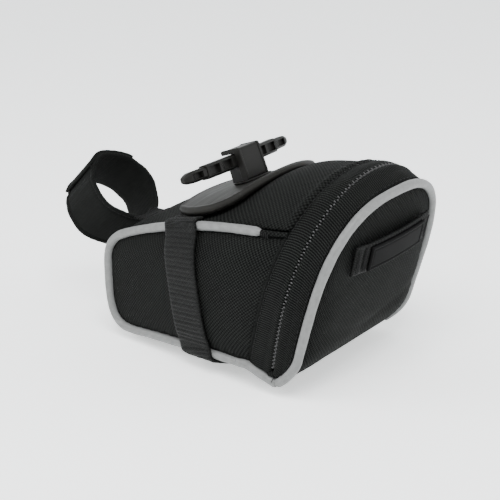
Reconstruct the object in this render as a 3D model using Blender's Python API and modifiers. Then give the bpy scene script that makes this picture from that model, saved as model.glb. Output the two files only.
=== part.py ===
"""Bicycle saddle bag with a fold-down rear flap, a T-bar saddle clip and a seatpost strap.

Metres, +Z up. The bag stands on its load strap. +Y points to the nose and the seatpost,
+X to the bag's right. The origin is the middle of the load strap's underside, on the ground.
"""

import math

import bmesh
import bpy
import numpy as np

MM = 0.001
GAP = 0.3 * MM                      # clearance between neighbouring pieces
FABRIC = 1.6 * MM                   # laminated panel thickness
PIPE_R = 2.0 * MM                   # piping radius
TAPE = 1.2 * MM                     # zipper tape thickness

# Side outline, as Y and Z of its straight runs
Y_TOP_REAR = -46 * MM
Y_NOSE = 55 * MM
Z_TOP_REAR = 69.5 * MM
Y_SEAM_LOW = -31 * MM
Z_SEAM_LOW = 10 * MM
HALF_WIDTH_REAR = 42.5 * MM
HALF_WIDTH_TAPER = 0.11             # narrowing toward the nose, per metre of Y
BAG_MIDDLE = (0.0, -15 * MM, 40 * MM)
SIDE_BULGE = 2.5 * MM
BELLY = 6.8 * MM
REAR_BULGE = 6.0 * MM
CROWN = 4.0 * MM                    # swell of the top panel behind the saddle clip
CROWN_REAR = -60 * MM
CROWN_FRONT = -6 * MM

# Arches: half width, foot half width, foot Z, spring Z, apex Z, Y at the spring line, lean, exponent
REAR_ARCH = (43.5 * MM, 42 * MM, 5.5 * MM, 38 * MM, 84 * MM, -63.0 * MM, 0.297, 2.7)
ZIP_ARCH = (47 * MM, 42 * MM, 8 * MM, 44 * MM, 92 * MM, -53.5 * MM, 0.275, 2.1)
SEAM_ARCH = (45.5 * MM, 41.5 * MM, 10 * MM, 44.5 * MM, 91 * MM, -42.0 * MM, 0.32, 2.3)
FOOT_SWEEP = 6 * MM                 # how far the rear arch's foot curls forward
T_TOP = 0.385                       # where the top side seam meets the front arch
NOSE_RUN = 15 * MM                  # how far the nose rounds off, along Y
NOSE_MIDDLE = 29 * MM
NOSE_HALF_HEIGHT = 23.5 * MM
NOSE_FALL = 0.40                    # slope of the top side seam where it turns down round the nose
PANEL_INSET = 3.1 * MM              # a panel's edge stops this far from its piping's centre

# Saddle clip
MOUNT_PITCH = math.radians(20)
PLATE_TOP = (0.0, -2 * MM, 75.6 * MM)
PLATE_HALF = (34 * MM, 23 * MM)
PLATE_FOLLOW = 0.6                  # how much of the bag's arch the plate takes up
PLATE_THICK = 2.4 * MM
BACKING = 2.0 * MM
PLATE_LIFT = 0.7 * MM               # clearance between the plate and the bag
HOOD_WIDTH = 15 * MM
HOOD_WALL = 3 * MM
BAR_LEVEL = 9.8 * MM                # T-bar's centre above the plate
BAR_FORWARD = 0.5 * MM              # T-bar's centre ahead of the plate's
BAR_HALF = 37 * MM
BAR_JOINT = 25 * MM                 # where each clip end is moulded on
BAR_BOW = 3.5 * MM
BAR_SECTION = (5.2 * MM, 6.2 * MM)
END_SECTION = (4.6 * MM, 5.0 * MM)

# Straps
WEBBING_HALF = 9 * MM
STRAP_Y_TOP = 5.5 * MM
STRAP_Y_LOW = -6 * MM
WEBBING = 1.3 * MM
RING_CENTRE = (0.0, 79.4 * MM, 51.5 * MM)
RING_TILT = math.radians(44)        # ring axis below the horizontal
RING_R = 17.2 * MM
RING_HALF_WIDTH = 12.5 * MM
RING_THICK = 1.5 * MM
PIPING_END_Y = -37 * MM             # where the top side piping is cut off
TRACK_R = 47.1 * MM                 # circle that the zipper's arch follows
TRACK_RISE = 2.72 * MM              # its centre above the arch's spring line
SLIDER_ANGLE = 2                    # where the slider rests, up from the right end of the spring line
PULL_SIDE = -1                      # the pull hangs down from the slider

LOOP_Z = 61.5 * MM                  # light loop's height

# colour, roughness, metallic
MATERIALS = {
    "side_fabric": ((0.018, 0.018, 0.020), 0.75, 0.0),
    "top_fabric": ((0.022, 0.022, 0.024), 0.80, 0.0),
    "rear_fabric": ((0.020, 0.020, 0.022), 0.78, 0.0),
    "zip_tape": ((0.015, 0.015, 0.016), 0.70, 0.0),
    "zip_coil": ((0.030, 0.030, 0.032), 0.45, 0.0),
    "piping": ((0.34, 0.34, 0.35), 0.55, 0.0),
    "webbing": ((0.020, 0.020, 0.022), 0.65, 0.0),
    "clip_plastic": ((0.115, 0.108, 0.100), 0.42, 0.0),
    "dark_plastic": ((0.035, 0.034, 0.034), 0.50, 0.0),
    "metal": ((0.30, 0.30, 0.31), 0.35, 1.0),
    "patch_rubber": ((0.030, 0.030, 0.032), 0.55, 0.0),
    "thread": ((0.12, 0.12, 0.12), 0.70, 0.0),
    "stiffener": ((0.060, 0.060, 0.062), 0.60, 0.0),
}


# ---------------------------------------------------------------- scene helpers

def clear_scene():
    for obj in list(bpy.data.objects):
        bpy.data.objects.remove(obj, do_unlink=True)


def new_collection(name, helper=False):
    collection = bpy.data.collections.new(name)
    bpy.context.scene.collection.children.link(collection)
    collection.hide_render = helper
    return collection


def material(name):
    found = bpy.data.materials.get(name)
    if found:
        return found
    colour, roughness, metallic = MATERIALS[name]
    made = bpy.data.materials.new(name)
    made.use_nodes = True
    shader = made.node_tree.nodes["Principled BSDF"]
    shader.inputs["Base Color"].default_value = (*colour, 1.0)
    shader.inputs["Roughness"].default_value = roughness
    shader.inputs["Metallic"].default_value = metallic
    return made


def add_mesh(name, points, faces, material_name, smooth=True, origin=(0, 0, 0)):
    """A mesh object in the part's collection, with its origin at the given point."""
    mesh = bpy.data.meshes.new(name)
    shift = np.array(origin, float)
    mesh.from_pydata([tuple(np.array(p) - shift) for p in points], [], faces)
    bm = bmesh.new()
    bm.from_mesh(mesh)
    bmesh.ops.recalc_face_normals(bm, faces=bm.faces)
    bm.to_mesh(mesh)
    bm.free()
    mesh.polygons.foreach_set("use_smooth", [smooth] * len(mesh.polygons))
    mesh.materials.append(material(material_name))
    obj = bpy.data.objects.new(name, mesh)
    obj.location = origin
    PARTS.objects.link(obj)
    return obj


def unit(vector):
    vector = np.array(vector, float)
    return vector / max(np.linalg.norm(vector), 1e-12)


def bevel(obj, width, segments=2):
    modifier = obj.modifiers.new("Bevel", "BEVEL")
    modifier.width = width
    modifier.segments = segments
    modifier.limit_method = "ANGLE"
    return obj


def cut(obj, cutter):
    modifier = obj.modifiers.new("Cut", "BOOLEAN")
    modifier.operation = "DIFFERENCE"
    modifier.solver = "EXACT"
    modifier.object = cutter
    cutter.hide_render = True
    cutter.display_type = "WIRE"
    PARTS.objects.unlink(cutter)
    CUTTERS.objects.link(cutter)


# ---------------------------------------------------------------- surfaces

def arch_point(arch, t):
    """A point of an arch: t is -1 at the left foot, 0 at the apex, 1 at the right foot."""
    half, foot, foot_z, spring_z, apex_z, y_spring, lean, power = arch
    side = -1.0 if t < 0 else 1.0
    u = 1.0 - abs(t)
    if u < 0.4:
        rise = u / 0.4
        z = foot_z + (spring_z - foot_z) * rise
        x = half - (half - foot) * (1 - rise) ** 1.5
    else:
        angle = (u - 0.4) / 0.6 * math.pi / 2
        x = half * max(math.cos(angle), 0.0) ** (2 / power)
        z = spring_z + (apex_z - spring_z) * math.sin(angle) ** (2 / power)
    y = y_spring - lean * (z - spring_z)
    if arch[5] == REAR_ARCH[5]:
        y += FOOT_SWEEP * max(0.0, (20 * MM - z) / (13 * MM)) ** 2
    return np.array([side * x, y, z])


def half_width(y):
    return HALF_WIDTH_REAR - HALF_WIDTH_TAPER * (y - Y_TOP_REAR)


def top_edge(y):
    """Height of the top side seam."""
    return Z_TOP_REAR - 1.9 * (y - Y_TOP_REAR) ** 2


def low_edge(y):
    """Height of the bottom side seam."""
    return Z_SEAM_LOW - 0.05 * (y - Y_SEAM_LOW)


def nose_edge(s, inset=0.0):
    """Y and Z of the nose's side seam: s runs from the bottom corner to the top corner."""
    angle = math.radians(-90 + 180 * s)
    high = NOSE_HALF_HEIGHT - inset
    y = Y_NOSE - NOSE_RUN + (NOSE_RUN - inset) * max(math.cos(angle), 0.0) ** (2 / 3.2)
    z = NOSE_MIDDLE + high * math.copysign(abs(math.sin(angle)) ** (2 / 3.2), math.sin(angle))
    z -= NOSE_FALL * (y - Y_NOSE + NOSE_RUN) * max(math.sin(angle), 0.0)
    return y, z


def seam_leg(s, inset=0.0):
    """Front arch from its foot to the end of the top side seam, on the left."""
    foot = inset / (75 * MM)
    point = arch_point(SEAM_ARCH, -1.0 + foot + (1.0 - T_TOP - 1.6 * foot) * s)
    return point + np.array([0.0, 0.2 * inset, 0.0])


def side_low(s, inset=0.0):
    start = seam_leg(0.0, inset)
    y = start[1] + (Y_NOSE - NOSE_RUN - start[1]) * s
    z = low_edge(y) + (nose_edge(0.0)[1] - low_edge(Y_NOSE - NOSE_RUN)) * s ** 4 + inset
    blend = (1 - s) ** 4
    x = -half_width(y) * (1 - blend) + start[0] * blend
    return np.array([x, y, z * (1 - blend) + start[2] * blend])


def side_top(s, inset=0.0):
    start = seam_leg(1.0, inset)
    y1 = Y_NOSE - NOSE_RUN
    y = start[1] + (y1 - start[1]) * s
    z = top_edge(y) + (nose_edge(1.0)[1] - top_edge(y1)) * s ** 2 - inset
    blend = (1 - s) ** 4
    x = -half_width(y) * (1 - blend) + start[0] * blend
    return np.array([x, y, z * (1 - blend) + start[2] * blend])


def side_nose(s, inset=0.0):
    y, z = nose_edge(s, inset)
    return np.array([-half_width(y), y, z])


def coons(low, high, left, right, a, b):
    """Coons patch: low and high run along a, left and right along b."""
    ruled_b = (1 - b) * low(a) + b * high(a)
    ruled_a = (1 - a) * left(b) + a * right(b)
    corners = (
        (1 - a) * (1 - b) * low(0.0) + a * (1 - b) * low(1.0)
        + (1 - a) * b * high(0.0) + a * b * high(1.0)
    )
    return ruled_a + ruled_b - corners


def swell(a, b):
    """0 on a patch's edges and 1 over its middle."""
    return (1 - (2 * a - 1) ** 4) * (1 - (2 * b - 1) ** 4)


def side_point(a, b, inset=0.0):
    edges = [lambda s, edge=edge: edge(s, inset) for edge in (side_low, side_top, seam_leg, side_nose)]
    point = coons(*edges, a, b)
    point[0] -= SIDE_BULGE * swell(a, b)
    return point


def ridge_height(y):
    """Height of the top panel's middle line, which swells behind the saddle clip."""
    along = min(max((y - CROWN_REAR) / (CROWN_FRONT - CROWN_REAR), 0.0), 1.0)
    return 91 * MM - 0.35 * (y + 55 * MM) + CROWN * math.sin(math.pi * along) ** 2


def mirrored(point):
    return point * np.array([-1, 1, 1])


def top_point(a, b):
    """Top panel: a runs from the left seam to the right one, b from the front arch to the nose."""
    def rear(s):
        return arch_point(SEAM_ARCH, -T_TOP + 2 * T_TOP * s)

    def nose(s):
        end = side_top(1.0)
        return np.array([end[0] * (1 - 2 * s), end[1], end[2] + 3.0 * MM * (1 - (2 * s - 1) ** 2)])

    point = coons(rear, nose, side_top, lambda s: mirrored(side_top(s)), a, b)
    ridge = ridge_height(point[1])
    flat = coons(rear, nose, side_top, lambda s: mirrored(side_top(s)), 0.5, b)
    crown = (1 - (2 * a - 1) ** 2) * (1 - (2 * b - 1) ** 8)
    point[2] += (ridge - flat[2]) * crown
    return point


def nose_point(a, b):
    """Nose panel: a from left to right, b from the bottom seam up to the top panel."""
    edge = side_nose(b)
    x = edge[0] * (1 - 2 * a)
    round_out = 1 - (2 * a - 1) ** 2
    out = np.array([0.0, math.cos(math.pi * (b - 0.5)), math.sin(math.pi * (b - 0.5))])
    return np.array([x, edge[1], edge[2]]) + out * 3.0 * MM * round_out


def rear_fold_y():
    return arch_point(REAR_ARCH, -1.0)[1]


def bottom_point(a, b):
    """Bottom panel: a from left to right, b from the fold under the rear panel to the nose."""
    y0, y1 = rear_fold_y(), Y_NOSE - NOSE_RUN
    y = y0 + (y1 - y0) * b
    foot = arch_point(REAR_ARCH, -1.0)
    blend = (1 - b) ** 3
    x = half_width(y) * (1 - blend) + abs(foot[0]) * blend
    z = low_edge(y) * (1 - blend) + foot[2] * blend
    z += (side_nose(0.0)[2] - low_edge(y1)) * b ** 4
    z -= BELLY * (1 - (2 * a - 1) ** 4) * (0.1 + 0.9 * math.sin(math.pi * b ** 0.85))
    return np.array([x * (2 * a - 1), y, z])


def rear_point(a, b, inset=0.0):
    """Rear panel: a from left to right, b from the fold up to the arch."""
    corner = 0.45
    arch = (REAR_ARCH[0] - inset, REAR_ARCH[1] - inset, *REAR_ARCH[2:4],
            REAR_ARCH[4] - inset, *REAR_ARCH[5:])

    def low(s):
        return bottom_point(s, 0.0) * np.array([1 - inset / REAR_ARCH[1], 1, 1])

    def high(s):
        return arch_point(arch, -corner + 2 * corner * s)

    def left(s):
        return arch_point(arch, -1.0 + (1.0 - corner) * s)

    point = coons(low, high, left, lambda s: mirrored(left(s)), a, b)
    round_a = 1 - (2 * a - 1) ** 6
    out = np.array([0.0, -0.96, 0.10])
    return point + out * REAR_BULGE * round_a * math.sin(math.pi * min(1.0, b ** 0.75)) ** 0.8


def locate(surface, keys, wanted, start=(0.5, 0.5)):
    """The surface parameters at which the point's coordinates keys[0] and keys[1] are those wanted."""
    a, b = start
    step = 1e-4
    for _ in range(12):
        here = surface(a, b)
        miss = np.array([wanted[0] - here[keys[0]], wanted[1] - here[keys[1]]])
        da = (surface(a + step, b) - here) / step
        db = (surface(a, b + step) - here) / step
        slope = np.array([[da[keys[0]], db[keys[0]]], [da[keys[1]], db[keys[1]]]])
        move = np.linalg.solve(slope, miss)
        a = min(max(a + float(np.clip(move[0], -0.2, 0.2)), 0.001), 0.999)
        b = min(max(b + float(np.clip(move[1], -0.2, 0.2)), 0.001), 0.999)
    return a, b


def point_and_normal(surface, keys, wanted, outward, start=(0.5, 0.5)):
    """The surface's point with those coordinates, and its unit normal on the outward side."""
    a, b = locate(surface, keys, wanted, start)
    a, b = min(a, 0.998), min(b, 0.998)
    here = surface(a, b)
    normal = unit(np.cross(surface(a + 0.001, b) - here, surface(a, b + 0.001) - here))
    return here, normal if np.dot(normal, outward) > 0 else -normal


def grid_object(name, surface, size, material_name, thick=FABRIC, inset=(0, 0, 0, 0), origin=(0, 0, 0)):
    """A sheet on a surface: its outer skin lies on the surface, and its thickness goes into the bag."""
    count_a, count_b = size
    points = []
    for j in range(count_b + 1):
        for i in range(count_a + 1):
            a = inset[0] + (1 - inset[0] - inset[1]) * i / count_a
            b = inset[2] + (1 - inset[2] - inset[3]) * j / count_b
            points.append(surface(a, b))
    points = np.array(points)
    row = count_a + 1
    faces = [(k, k + 1, k + row + 1, k + row)
             for j in range(count_b) for k in range(j * row, j * row + count_a)]
    normals = np.zeros_like(points)
    for quad in faces:
        p = points[list(quad)]
        normals[list(quad)] += unit(np.cross(p[2] - p[0], p[3] - p[1]))
    normals = np.array([unit(n) for n in normals])
    if (normals * (points - np.array(BAG_MIDDLE))).sum() < 0:
        normals = -normals
    count = len(points)
    solid = faces + [tuple(k + count for k in f[::-1]) for f in faces]
    solid += rim_faces(count_a, count_b, count)
    return add_mesh(name, np.vstack([points, points - normals * thick]), solid, material_name,
                    origin=origin)


def rim_faces(count_a, count_b, shift):
    """The faces that close a grid's outer and inner skins round their edge."""
    row = count_a + 1
    loop = list(range(row))
    loop += [count_a + row * j for j in range(1, count_b + 1)]
    loop += [row * count_b + i for i in range(count_a - 1, -1, -1)]
    loop += [row * j for j in range(count_b - 1, 0, -1)]
    return [(loop[(k + 1) % len(loop)], here, here + shift, loop[(k + 1) % len(loop)] + shift)
            for k, here in enumerate(loop)]


def between(low_arch, high_arch, low_margin, high_margin, bow=0.8 * MM):
    """The strip between two arches: a along the arches, b across, this far clear of each of them."""
    def surface(a, b):
        t = -1.0 + 2.0 * a
        low, high = arch_point(low_arch, t), arch_point(high_arch, t)
        width = np.linalg.norm(high - low)
        b = low_margin / width + (1 - (low_margin + high_margin) / width) * b
        middle = (low + high) / 2 - np.array([0.0, -58 * MM, 40 * MM])
        out = unit(middle * np.array([1, 0, 1]))
        return low + (high - low) * b + out * bow * 4 * b * (1 - b)
    return surface


# ---------------------------------------------------------------- tubes and bands

def sweep(name, path, section, material_name, closed=False, up=(0, 0, 1), origin=(0, 0, 0)):
    """A section of (sideways, upward) offsets carried along a path, with flat ends."""
    path = np.array(path)
    count, sides = len(path), len(section)
    points = []
    for k in range(count):
        before = path[(k - 1) % count] if closed or k > 0 else path[k]
        after = path[(k + 1) % count] if closed or k < count - 1 else path[k]
        along = unit(after - before)
        upward = up(k) if callable(up) else np.array(up, float)
        sideways = unit(np.cross(along, upward))
        upward = np.cross(sideways, along)
        points += [path[k] + sideways * s + upward * u for s, u in section]
    faces = []
    for k in range(count if closed else count - 1):
        n = (k + 1) % count
        for i in range(sides):
            j = (i + 1) % sides
            faces.append((k * sides + i, k * sides + j, n * sides + j, n * sides + i))
    if not closed:
        faces += [tuple(range(sides))[::-1], tuple((count - 1) * sides + i for i in range(sides))]
    return add_mesh(name, points, faces, material_name, origin=origin)


def circle(radius, sides=8):
    return [(radius * math.cos(2 * math.pi * k / sides), radius * math.sin(2 * math.pi * k / sides))
            for k in range(sides)]


def flat(half, thick, lift=0.0):
    return [(-half, lift), (half, lift), (half, lift + thick), (-half, lift + thick)]


def spaced(curve, count, start=0.0, end=1.0):
    return [curve(start + (end - start) * k / (count - 1)) for k in range(count)]


def box(name, size, centre, material_name, axes=None, origin=(0, 0, 0), bevel_width=0.0):
    """A block in the given axes, three unit vectors, about a centre."""
    axes = np.eye(3) if axes is None else np.array(axes, float)
    corners = []
    for z in (-0.5, 0.5):
        for x, y in ((-0.5, -0.5), (0.5, -0.5), (0.5, 0.5), (-0.5, 0.5)):
            corners.append(np.array(centre) + np.array([x, y, z]) * size @ axes)
    faces = [(3, 2, 1, 0), (4, 5, 6, 7), (0, 1, 5, 4), (1, 2, 6, 5), (2, 3, 7, 6), (3, 0, 4, 7)]
    obj = add_mesh(name, corners, faces, material_name, smooth=False, origin=origin)
    if bevel_width:
        bevel(obj, bevel_width)
    return obj


# ---------------------------------------------------------------- the bag's shell

def rear_piping_path():
    count = 46
    return [arch_point(REAR_ARCH, -1.0 + 2.0 * k / count) for k in range(count + 1)]


def build_panels():
    def left_side(a, b):
        return side_point(a, b, PANEL_INSET)

    def right_side(a, b):
        return mirrored(side_point(a, b, PANEL_INSET))

    def rear(a, b):
        return rear_point(a, b, PANEL_INSET)
    grid_object("side_panel_left", left_side, (12, 8), "side_fabric")
    grid_object("side_panel_right", right_side, (12, 8), "side_fabric")
    grid_object("top_panel", top_point, (14, 9), "top_fabric", inset=(0.036, 0.036, 0.006, 0.003))
    grid_object("nose_panel", nose_point, (8, 10), "top_fabric", inset=(0.044, 0.044, 0.004, 0.004))
    grid_object("bottom_panel", bottom_point, (12, 8), "top_fabric", inset=(0.036, 0.036, 0.026, 0.003))
    grid_object("rear_panel", rear, (12, 12), "rear_fabric")


def build_zipper():
    coil_room = 2.1 * MM
    front = between(SEAM_ARCH, ZIP_ARCH, GAP, coil_room)
    rear = between(ZIP_ARCH, REAR_ARCH, coil_room, PIPE_R + 0.6 * MM)
    grid_object("zipper_tape_front", front, (36, 1), "zip_tape", TAPE, (0.018, 0.018, 0, 0))
    grid_object("zipper_tape_rear", rear, (36, 1), "zip_tape", TAPE, (0.035, 0.035, 0, 0))
    for name, arch_shift in (("zipper_coil_front", 0.95 * MM), ("zipper_coil_rear", -0.95 * MM)):
        path = [arch_point(ZIP_ARCH, -0.96 + 1.92 * k / 36) + np.array([0, arch_shift, 0])
                for k in range(37)]
        sweep(name, path, circle(0.75 * MM, 6), "zip_coil", up=(0, 1, 0.27))


def piping_path():
    """The left side seam, from the end of its top edge round the nose to the rear corner."""
    path = spaced(side_top, 9, share(side_top, PIPING_END_Y), 1.0)
    path += spaced(side_nose, 12, 0.94, 0.06)
    path += spaced(side_low, 9, 1.0, 0.0)
    foot = arch_point(REAR_ARCH, -1.0)
    low = side_low(0.0)
    path += [low + (foot - low) * k / 4 for k in range(1, 4)]
    return path


def build_piping():
    path = piping_path()
    sweep("piping_left", path, circle(PIPE_R), "piping", up=(1, 0, 0))
    sweep("piping_right", [mirrored(p) for p in path], circle(PIPE_R), "piping", up=(1, 0, 0))
    sweep("piping_rear", rear_piping_path(), circle(PIPE_R), "piping", up=(0, 1, 0.29))


def build_lining():
    """Stiffeners behind the panels, and the plate inside that backs the saddle clip."""
    for side, flip in (("left", False), ("right", True)):
        def surface(a, b, flip=flip):
            point = side_point(0.08 + 0.70 * a, 0.19 + 0.62 * b)
            point[0] += FABRIC + 2.8 * MM
            return mirrored(point) if flip else point
        grid_object(f"stiffener_{side}", surface, (6, 4), "stiffener", 1.0 * MM)

    def under(a, b):
        point = bottom_point(0.12 + 0.76 * a, 0.10 + 0.78 * b)
        point[2] += FABRIC + 3 * GAP
        return point
    grid_object("stiffener_bottom", under, (6, 5), "stiffener", 1.0 * MM)

    def behind(a, b):
        point = rear_point(0.12 + 0.76 * a, 0.14 + 0.68 * b)
        point[1] += FABRIC + 1.9 * MM
        return point
    grid_object("stiffener_rear", behind, (6, 6), "stiffener", 1.0 * MM)

    def ceiling(a, b):
        point = top_point(0.22 + 0.56 * a, 0.24 + 0.52 * b)
        point[2] -= FABRIC + 3 * GAP
        return point
    grid_object("mount_backing_plate", ceiling, (6, 4), "dark_plastic", BACKING)


# ---------------------------------------------------------------- saddle clip

def mount_axes():
    c, s = math.cos(MOUNT_PITCH), math.sin(MOUNT_PITCH)
    return np.array([[1, 0, 0], [0, c, -s], [0, s, c]])


def mount_point(x, forward, normal):
    return np.array(PLATE_TOP) + np.array([x, forward, normal]) @ mount_axes()


def plate_surface(a, b):
    """The plate's top: a rounded oval that follows the bag's arched top."""
    u, v = 2 * a - 1, 2 * b - 1
    x = u * math.sqrt(1 - v * v / 2.6) * PLATE_HALF[0]
    forward = v * math.sqrt(1 - u * u / 2.6) * PLATE_HALF[1]
    y = PLATE_TOP[1] + forward * math.cos(MOUNT_PITCH)
    here, normal = point_and_normal(top_point, (0, 1), (x, y), (0, 0, 1))
    ridge = point_and_normal(top_point, (0, 1), (0.0, y), (0, 0, 1))[0]
    here[2] = ridge[2] - PLATE_FOLLOW * (ridge[2] - here[2])
    return here + normal * (PLATE_LIFT + PLATE_THICK)


def prism(name, outline, half_width, material_name, place):
    """A (forward, normal) outline in the mount's frame, carried from -half_width to half_width in X."""
    count = len(outline)
    points = [place(x, f, n) for x in (-half_width, half_width) for f, n in outline]
    faces = [tuple(range(count))[::-1], tuple(range(count, 2 * count))]
    faces += [(k, (k + 1) % count, count + (k + 1) % count, count + k) for k in range(count)]
    return add_mesh(name, points, faces, material_name, smooth=False)


def rounded(corners, radius, steps=3):
    """An outline with each corner replaced by a short arc."""
    found = []
    count = len(corners)
    for k in range(count):
        here = np.array(corners[k], float)
        before, after = np.array(corners[k - 1], float), np.array(corners[(k + 1) % count], float)
        reach = min(radius, np.linalg.norm(before - here) * 0.45, np.linalg.norm(after - here) * 0.45)
        start, end = here + unit(before - here) * reach, here + unit(after - here) * reach
        for i in range(steps + 1):
            t = i / steps
            found.append(tuple(start * (1 - t) ** 2 + here * 2 * t * (1 - t) + end * t * t))
    return found


def build_mount():
    grid_object("mount_base_plate", plate_surface, (14, 10), "clip_plastic", PLATE_THICK)
    bar_top = BAR_LEVEL + BAR_SECTION[1] / 2
    rear = BAR_FORWARD - BAR_SECTION[0] / 2 - GAP
    front = BAR_FORWARD + BAR_SECTION[0] / 2 + 2 * MM
    foot = 0.4 * MM
    hood = [(rear - HOOD_WALL - 0.6 * MM, foot), (rear - HOOD_WALL, bar_top + 2.4 * MM),
            (front, bar_top + 2.4 * MM), (front, bar_top + GAP), (rear, bar_top + GAP), (rear, foot)]
    bevel(prism("mount_hood", rounded(hood, 1.1 * MM), HOOD_WIDTH / 2, "clip_plastic", mount_point),
          0.4 * MM, 1)
    core = [(rear + GAP, foot), (rear + GAP, BAR_LEVEL - BAR_SECTION[1] / 2 - GAP),
            (front - 1.2 * MM, BAR_LEVEL - BAR_SECTION[1] / 2 - GAP), (front - 1.2 * MM, foot)]
    prism("mount_core", rounded(core, 0.5 * MM, 2), HOOD_WIDTH / 2 - 1.2 * MM, "dark_plastic", mount_point)
    bar = bar_length("t_bar", -BAR_JOINT + GAP / 2, BAR_JOINT - GAP / 2, BAR_SECTION, 12, (0, 0, 0))
    for sign in (-1, 1):
        for k, middle in enumerate((12.4 * MM, 20.2 * MM)):
            pocket(bar, f"t_bar_pocket_{sign}_{k}", sign * middle, 5.8 * MM, BAR_SECTION)
    for side, sign in (("left", -1), ("right", 1)):
        start, end = BAR_JOINT + GAP / 2, BAR_HALF
        clip = bar_length(f"clip_end_{side}", sign * start, sign * end, END_SECTION, 6,
                          tuple(bar_path(sign * BAR_JOINT)), 0.5)
        pocket(clip, f"clip_pocket_{side}", sign * (BAR_JOINT + 5.0 * MM), 5.6 * MM, END_SECTION)
        mount_screw(f"mount_screw_{side}", sign * 4.5 * MM)


def bar_path(x):
    u = abs(x) / BAR_HALF
    return mount_point(x, BAR_FORWARD + BAR_BOW * u * u, BAR_LEVEL)


def bar_length(name, start, end, section, steps, origin, toe=1.0):
    """A length of the T-bar. Its last part narrows to the toe's share of the section."""
    deep, high = section
    c = 0.9 * MM
    outline = [(-deep / 2 + c, -high / 2), (deep / 2 - c, -high / 2), (deep / 2, -high / 2 + c),
               (deep / 2, high / 2 - c), (deep / 2 - c, high / 2), (-deep / 2 + c, high / 2),
               (-deep / 2, high / 2 - c), (-deep / 2, -high / 2 + c)]
    axes = mount_axes()
    count = len(outline)
    points, faces = [], []
    for k in range(steps + 1):
        u = k / steps
        scale = 1 - (1 - toe) * max(0.0, (u - 0.6) / 0.4) ** 2
        centre = bar_path(start + (end - start) * u)
        points += [centre + (axes[1] * f + axes[2] * n) * scale for f, n in outline]
    for k in range(steps):
        for i in range(count):
            j = (i + 1) % count
            faces.append((k * count + i, k * count + j, (k + 1) * count + j, (k + 1) * count + i))
    faces += [tuple(range(count))[::-1], tuple(steps * count + i for i in range(count))]
    return add_mesh(name, points, faces, "clip_plastic", smooth=False, origin=origin)


def pocket(bar, name, x, length, section):
    """An open pocket moulded in a bar's rear face."""
    middle = bar_path(x) - mount_axes()[1] * (section[0] / 2)
    cutter = box(name, (length, 3.2 * MM, section[1] - 2.4 * MM), middle, "dark_plastic", mount_axes())
    cut(bar, cutter)


def mount_screw(name, x):
    """A pan-head screw with a hex socket, driven up through the backing plate from inside the bag."""
    here, normal = point_and_normal(top_point, (0, 1), (x, PLATE_TOP[1]), (0, 0, 1))
    seat = here - normal * (FABRIC + 3 * GAP + BACKING + 2 * GAP)
    across = unit(np.cross(normal, (1, 0, 0)))
    steps = 12
    rings = [(3.0, 0.0), (3.0, 0.9), (2.4, 1.6), (1.4, 1.6), (1.4, 0.7)]
    points, faces = [], []
    for radius, depth in rings:
        for k in range(steps):
            angle = 2 * math.pi * k / steps
            points.append(seat - normal * depth * MM + radius * MM * (
                np.array([1.0, 0, 0]) * math.cos(angle) + across * math.sin(angle)))
    for r in range(len(rings) - 1):
        for k in range(steps):
            n = (k + 1) % steps
            faces.append((r * steps + k, r * steps + n, (r + 1) * steps + n, (r + 1) * steps + k))
    faces += [tuple(range(steps))[::-1], tuple((len(rings) - 1) * steps + k for k in range(steps))]
    add_mesh(name, points, faces, "metal")


# ---------------------------------------------------------------- straps

def strap_girth(y, count=8):
    """The load strap's inner face at one Y, from the plate's left edge to the middle of the belly."""
    reach = PIPE_R + 0.5 * MM
    lift = 0.6 * MM
    top_seam = side_top(share(side_top, y))
    low_seam = side_low(share(side_low, y))
    points = []
    for k in range(4):
        x = top_seam[0] + (6 - 1.0 * k) * MM
        here, normal = point_and_normal(top_point, (0, 1), (x, y), (0, 0, 1), (0.2, 0.5))
        points.append(here + normal * lift)
    for angle in (75, 105, 135, 165):
        turn = math.radians(angle)
        points.append(top_seam + np.array([math.cos(turn), 0, math.sin(turn)]) * reach)
    for k in range(count):
        z = top_seam[2] - 3.5 * MM + (low_seam[2] - top_seam[2] + 7 * MM) * k / (count - 1)
        here, normal = point_and_normal(side_point, (1, 2), (y, z), (-1, 0, 0))
        points.append(here + normal * lift)
    for angle in (190, 215, 240, 262):
        turn = math.radians(angle)
        points.append(low_seam + np.array([math.cos(turn), 0, math.sin(turn)]) * reach)
    for share_x in (0.86, 0.72, 0.5, 0.25, 0.0):
        x = low_seam[0] * share_x
        here, normal = point_and_normal(bottom_point, (0, 1), (x, y), (0, 0, -1))
        here = here + normal * lift
        if share_x <= 0.5:
            here[2] = WEBBING
        points.append(here)
    return points


def share(edge, y):
    """The share along a side seam at which it has this Y."""
    low, high = 0.0, 1.0
    for _ in range(30):
        middle = (low + high) / 2
        if edge(middle)[1] < y:
            low = middle
        else:
            high = middle
    return high


def build_load_strap():
    """Webbing from under the plate down one side, under the belly and up the other side."""
    columns = 3
    rails = []
    for k in range(columns):
        across = (2 * k / (columns - 1) - 1) * WEBBING_HALF
        top = strap_girth(STRAP_Y_TOP + across)
        low = strap_girth(STRAP_Y_LOW + across)
        count = len(top)
        mix = [min(1.0, max(0.0, (i - 6) / (count - 11))) for i in range(count)]
        half = [t * (1 - m) + b * m for t, b, m in zip(top, low, mix)]
        rails.append(half + [mirrored(p) for p in half[-2::-1]])
    length = len(rails[0]) - 1

    def surface(a, b):
        return rails[round(b * (columns - 1))][round(a * length)] + strap_out[round(a * length)]
    strap_out = []
    for k in range(length + 1):
        before, after = rails[1][max(k - 1, 0)], rails[1][min(k + 1, length)]
        strap_out.append(unit(np.cross(rails[2][k] - rails[0][k], after - before)) * -WEBBING)
    if strap_out[length // 2][2] > 0:
        strap_out = [-v for v in strap_out]
    grid_object("load_strap", surface, (length, columns - 1), "webbing", WEBBING)


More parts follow.
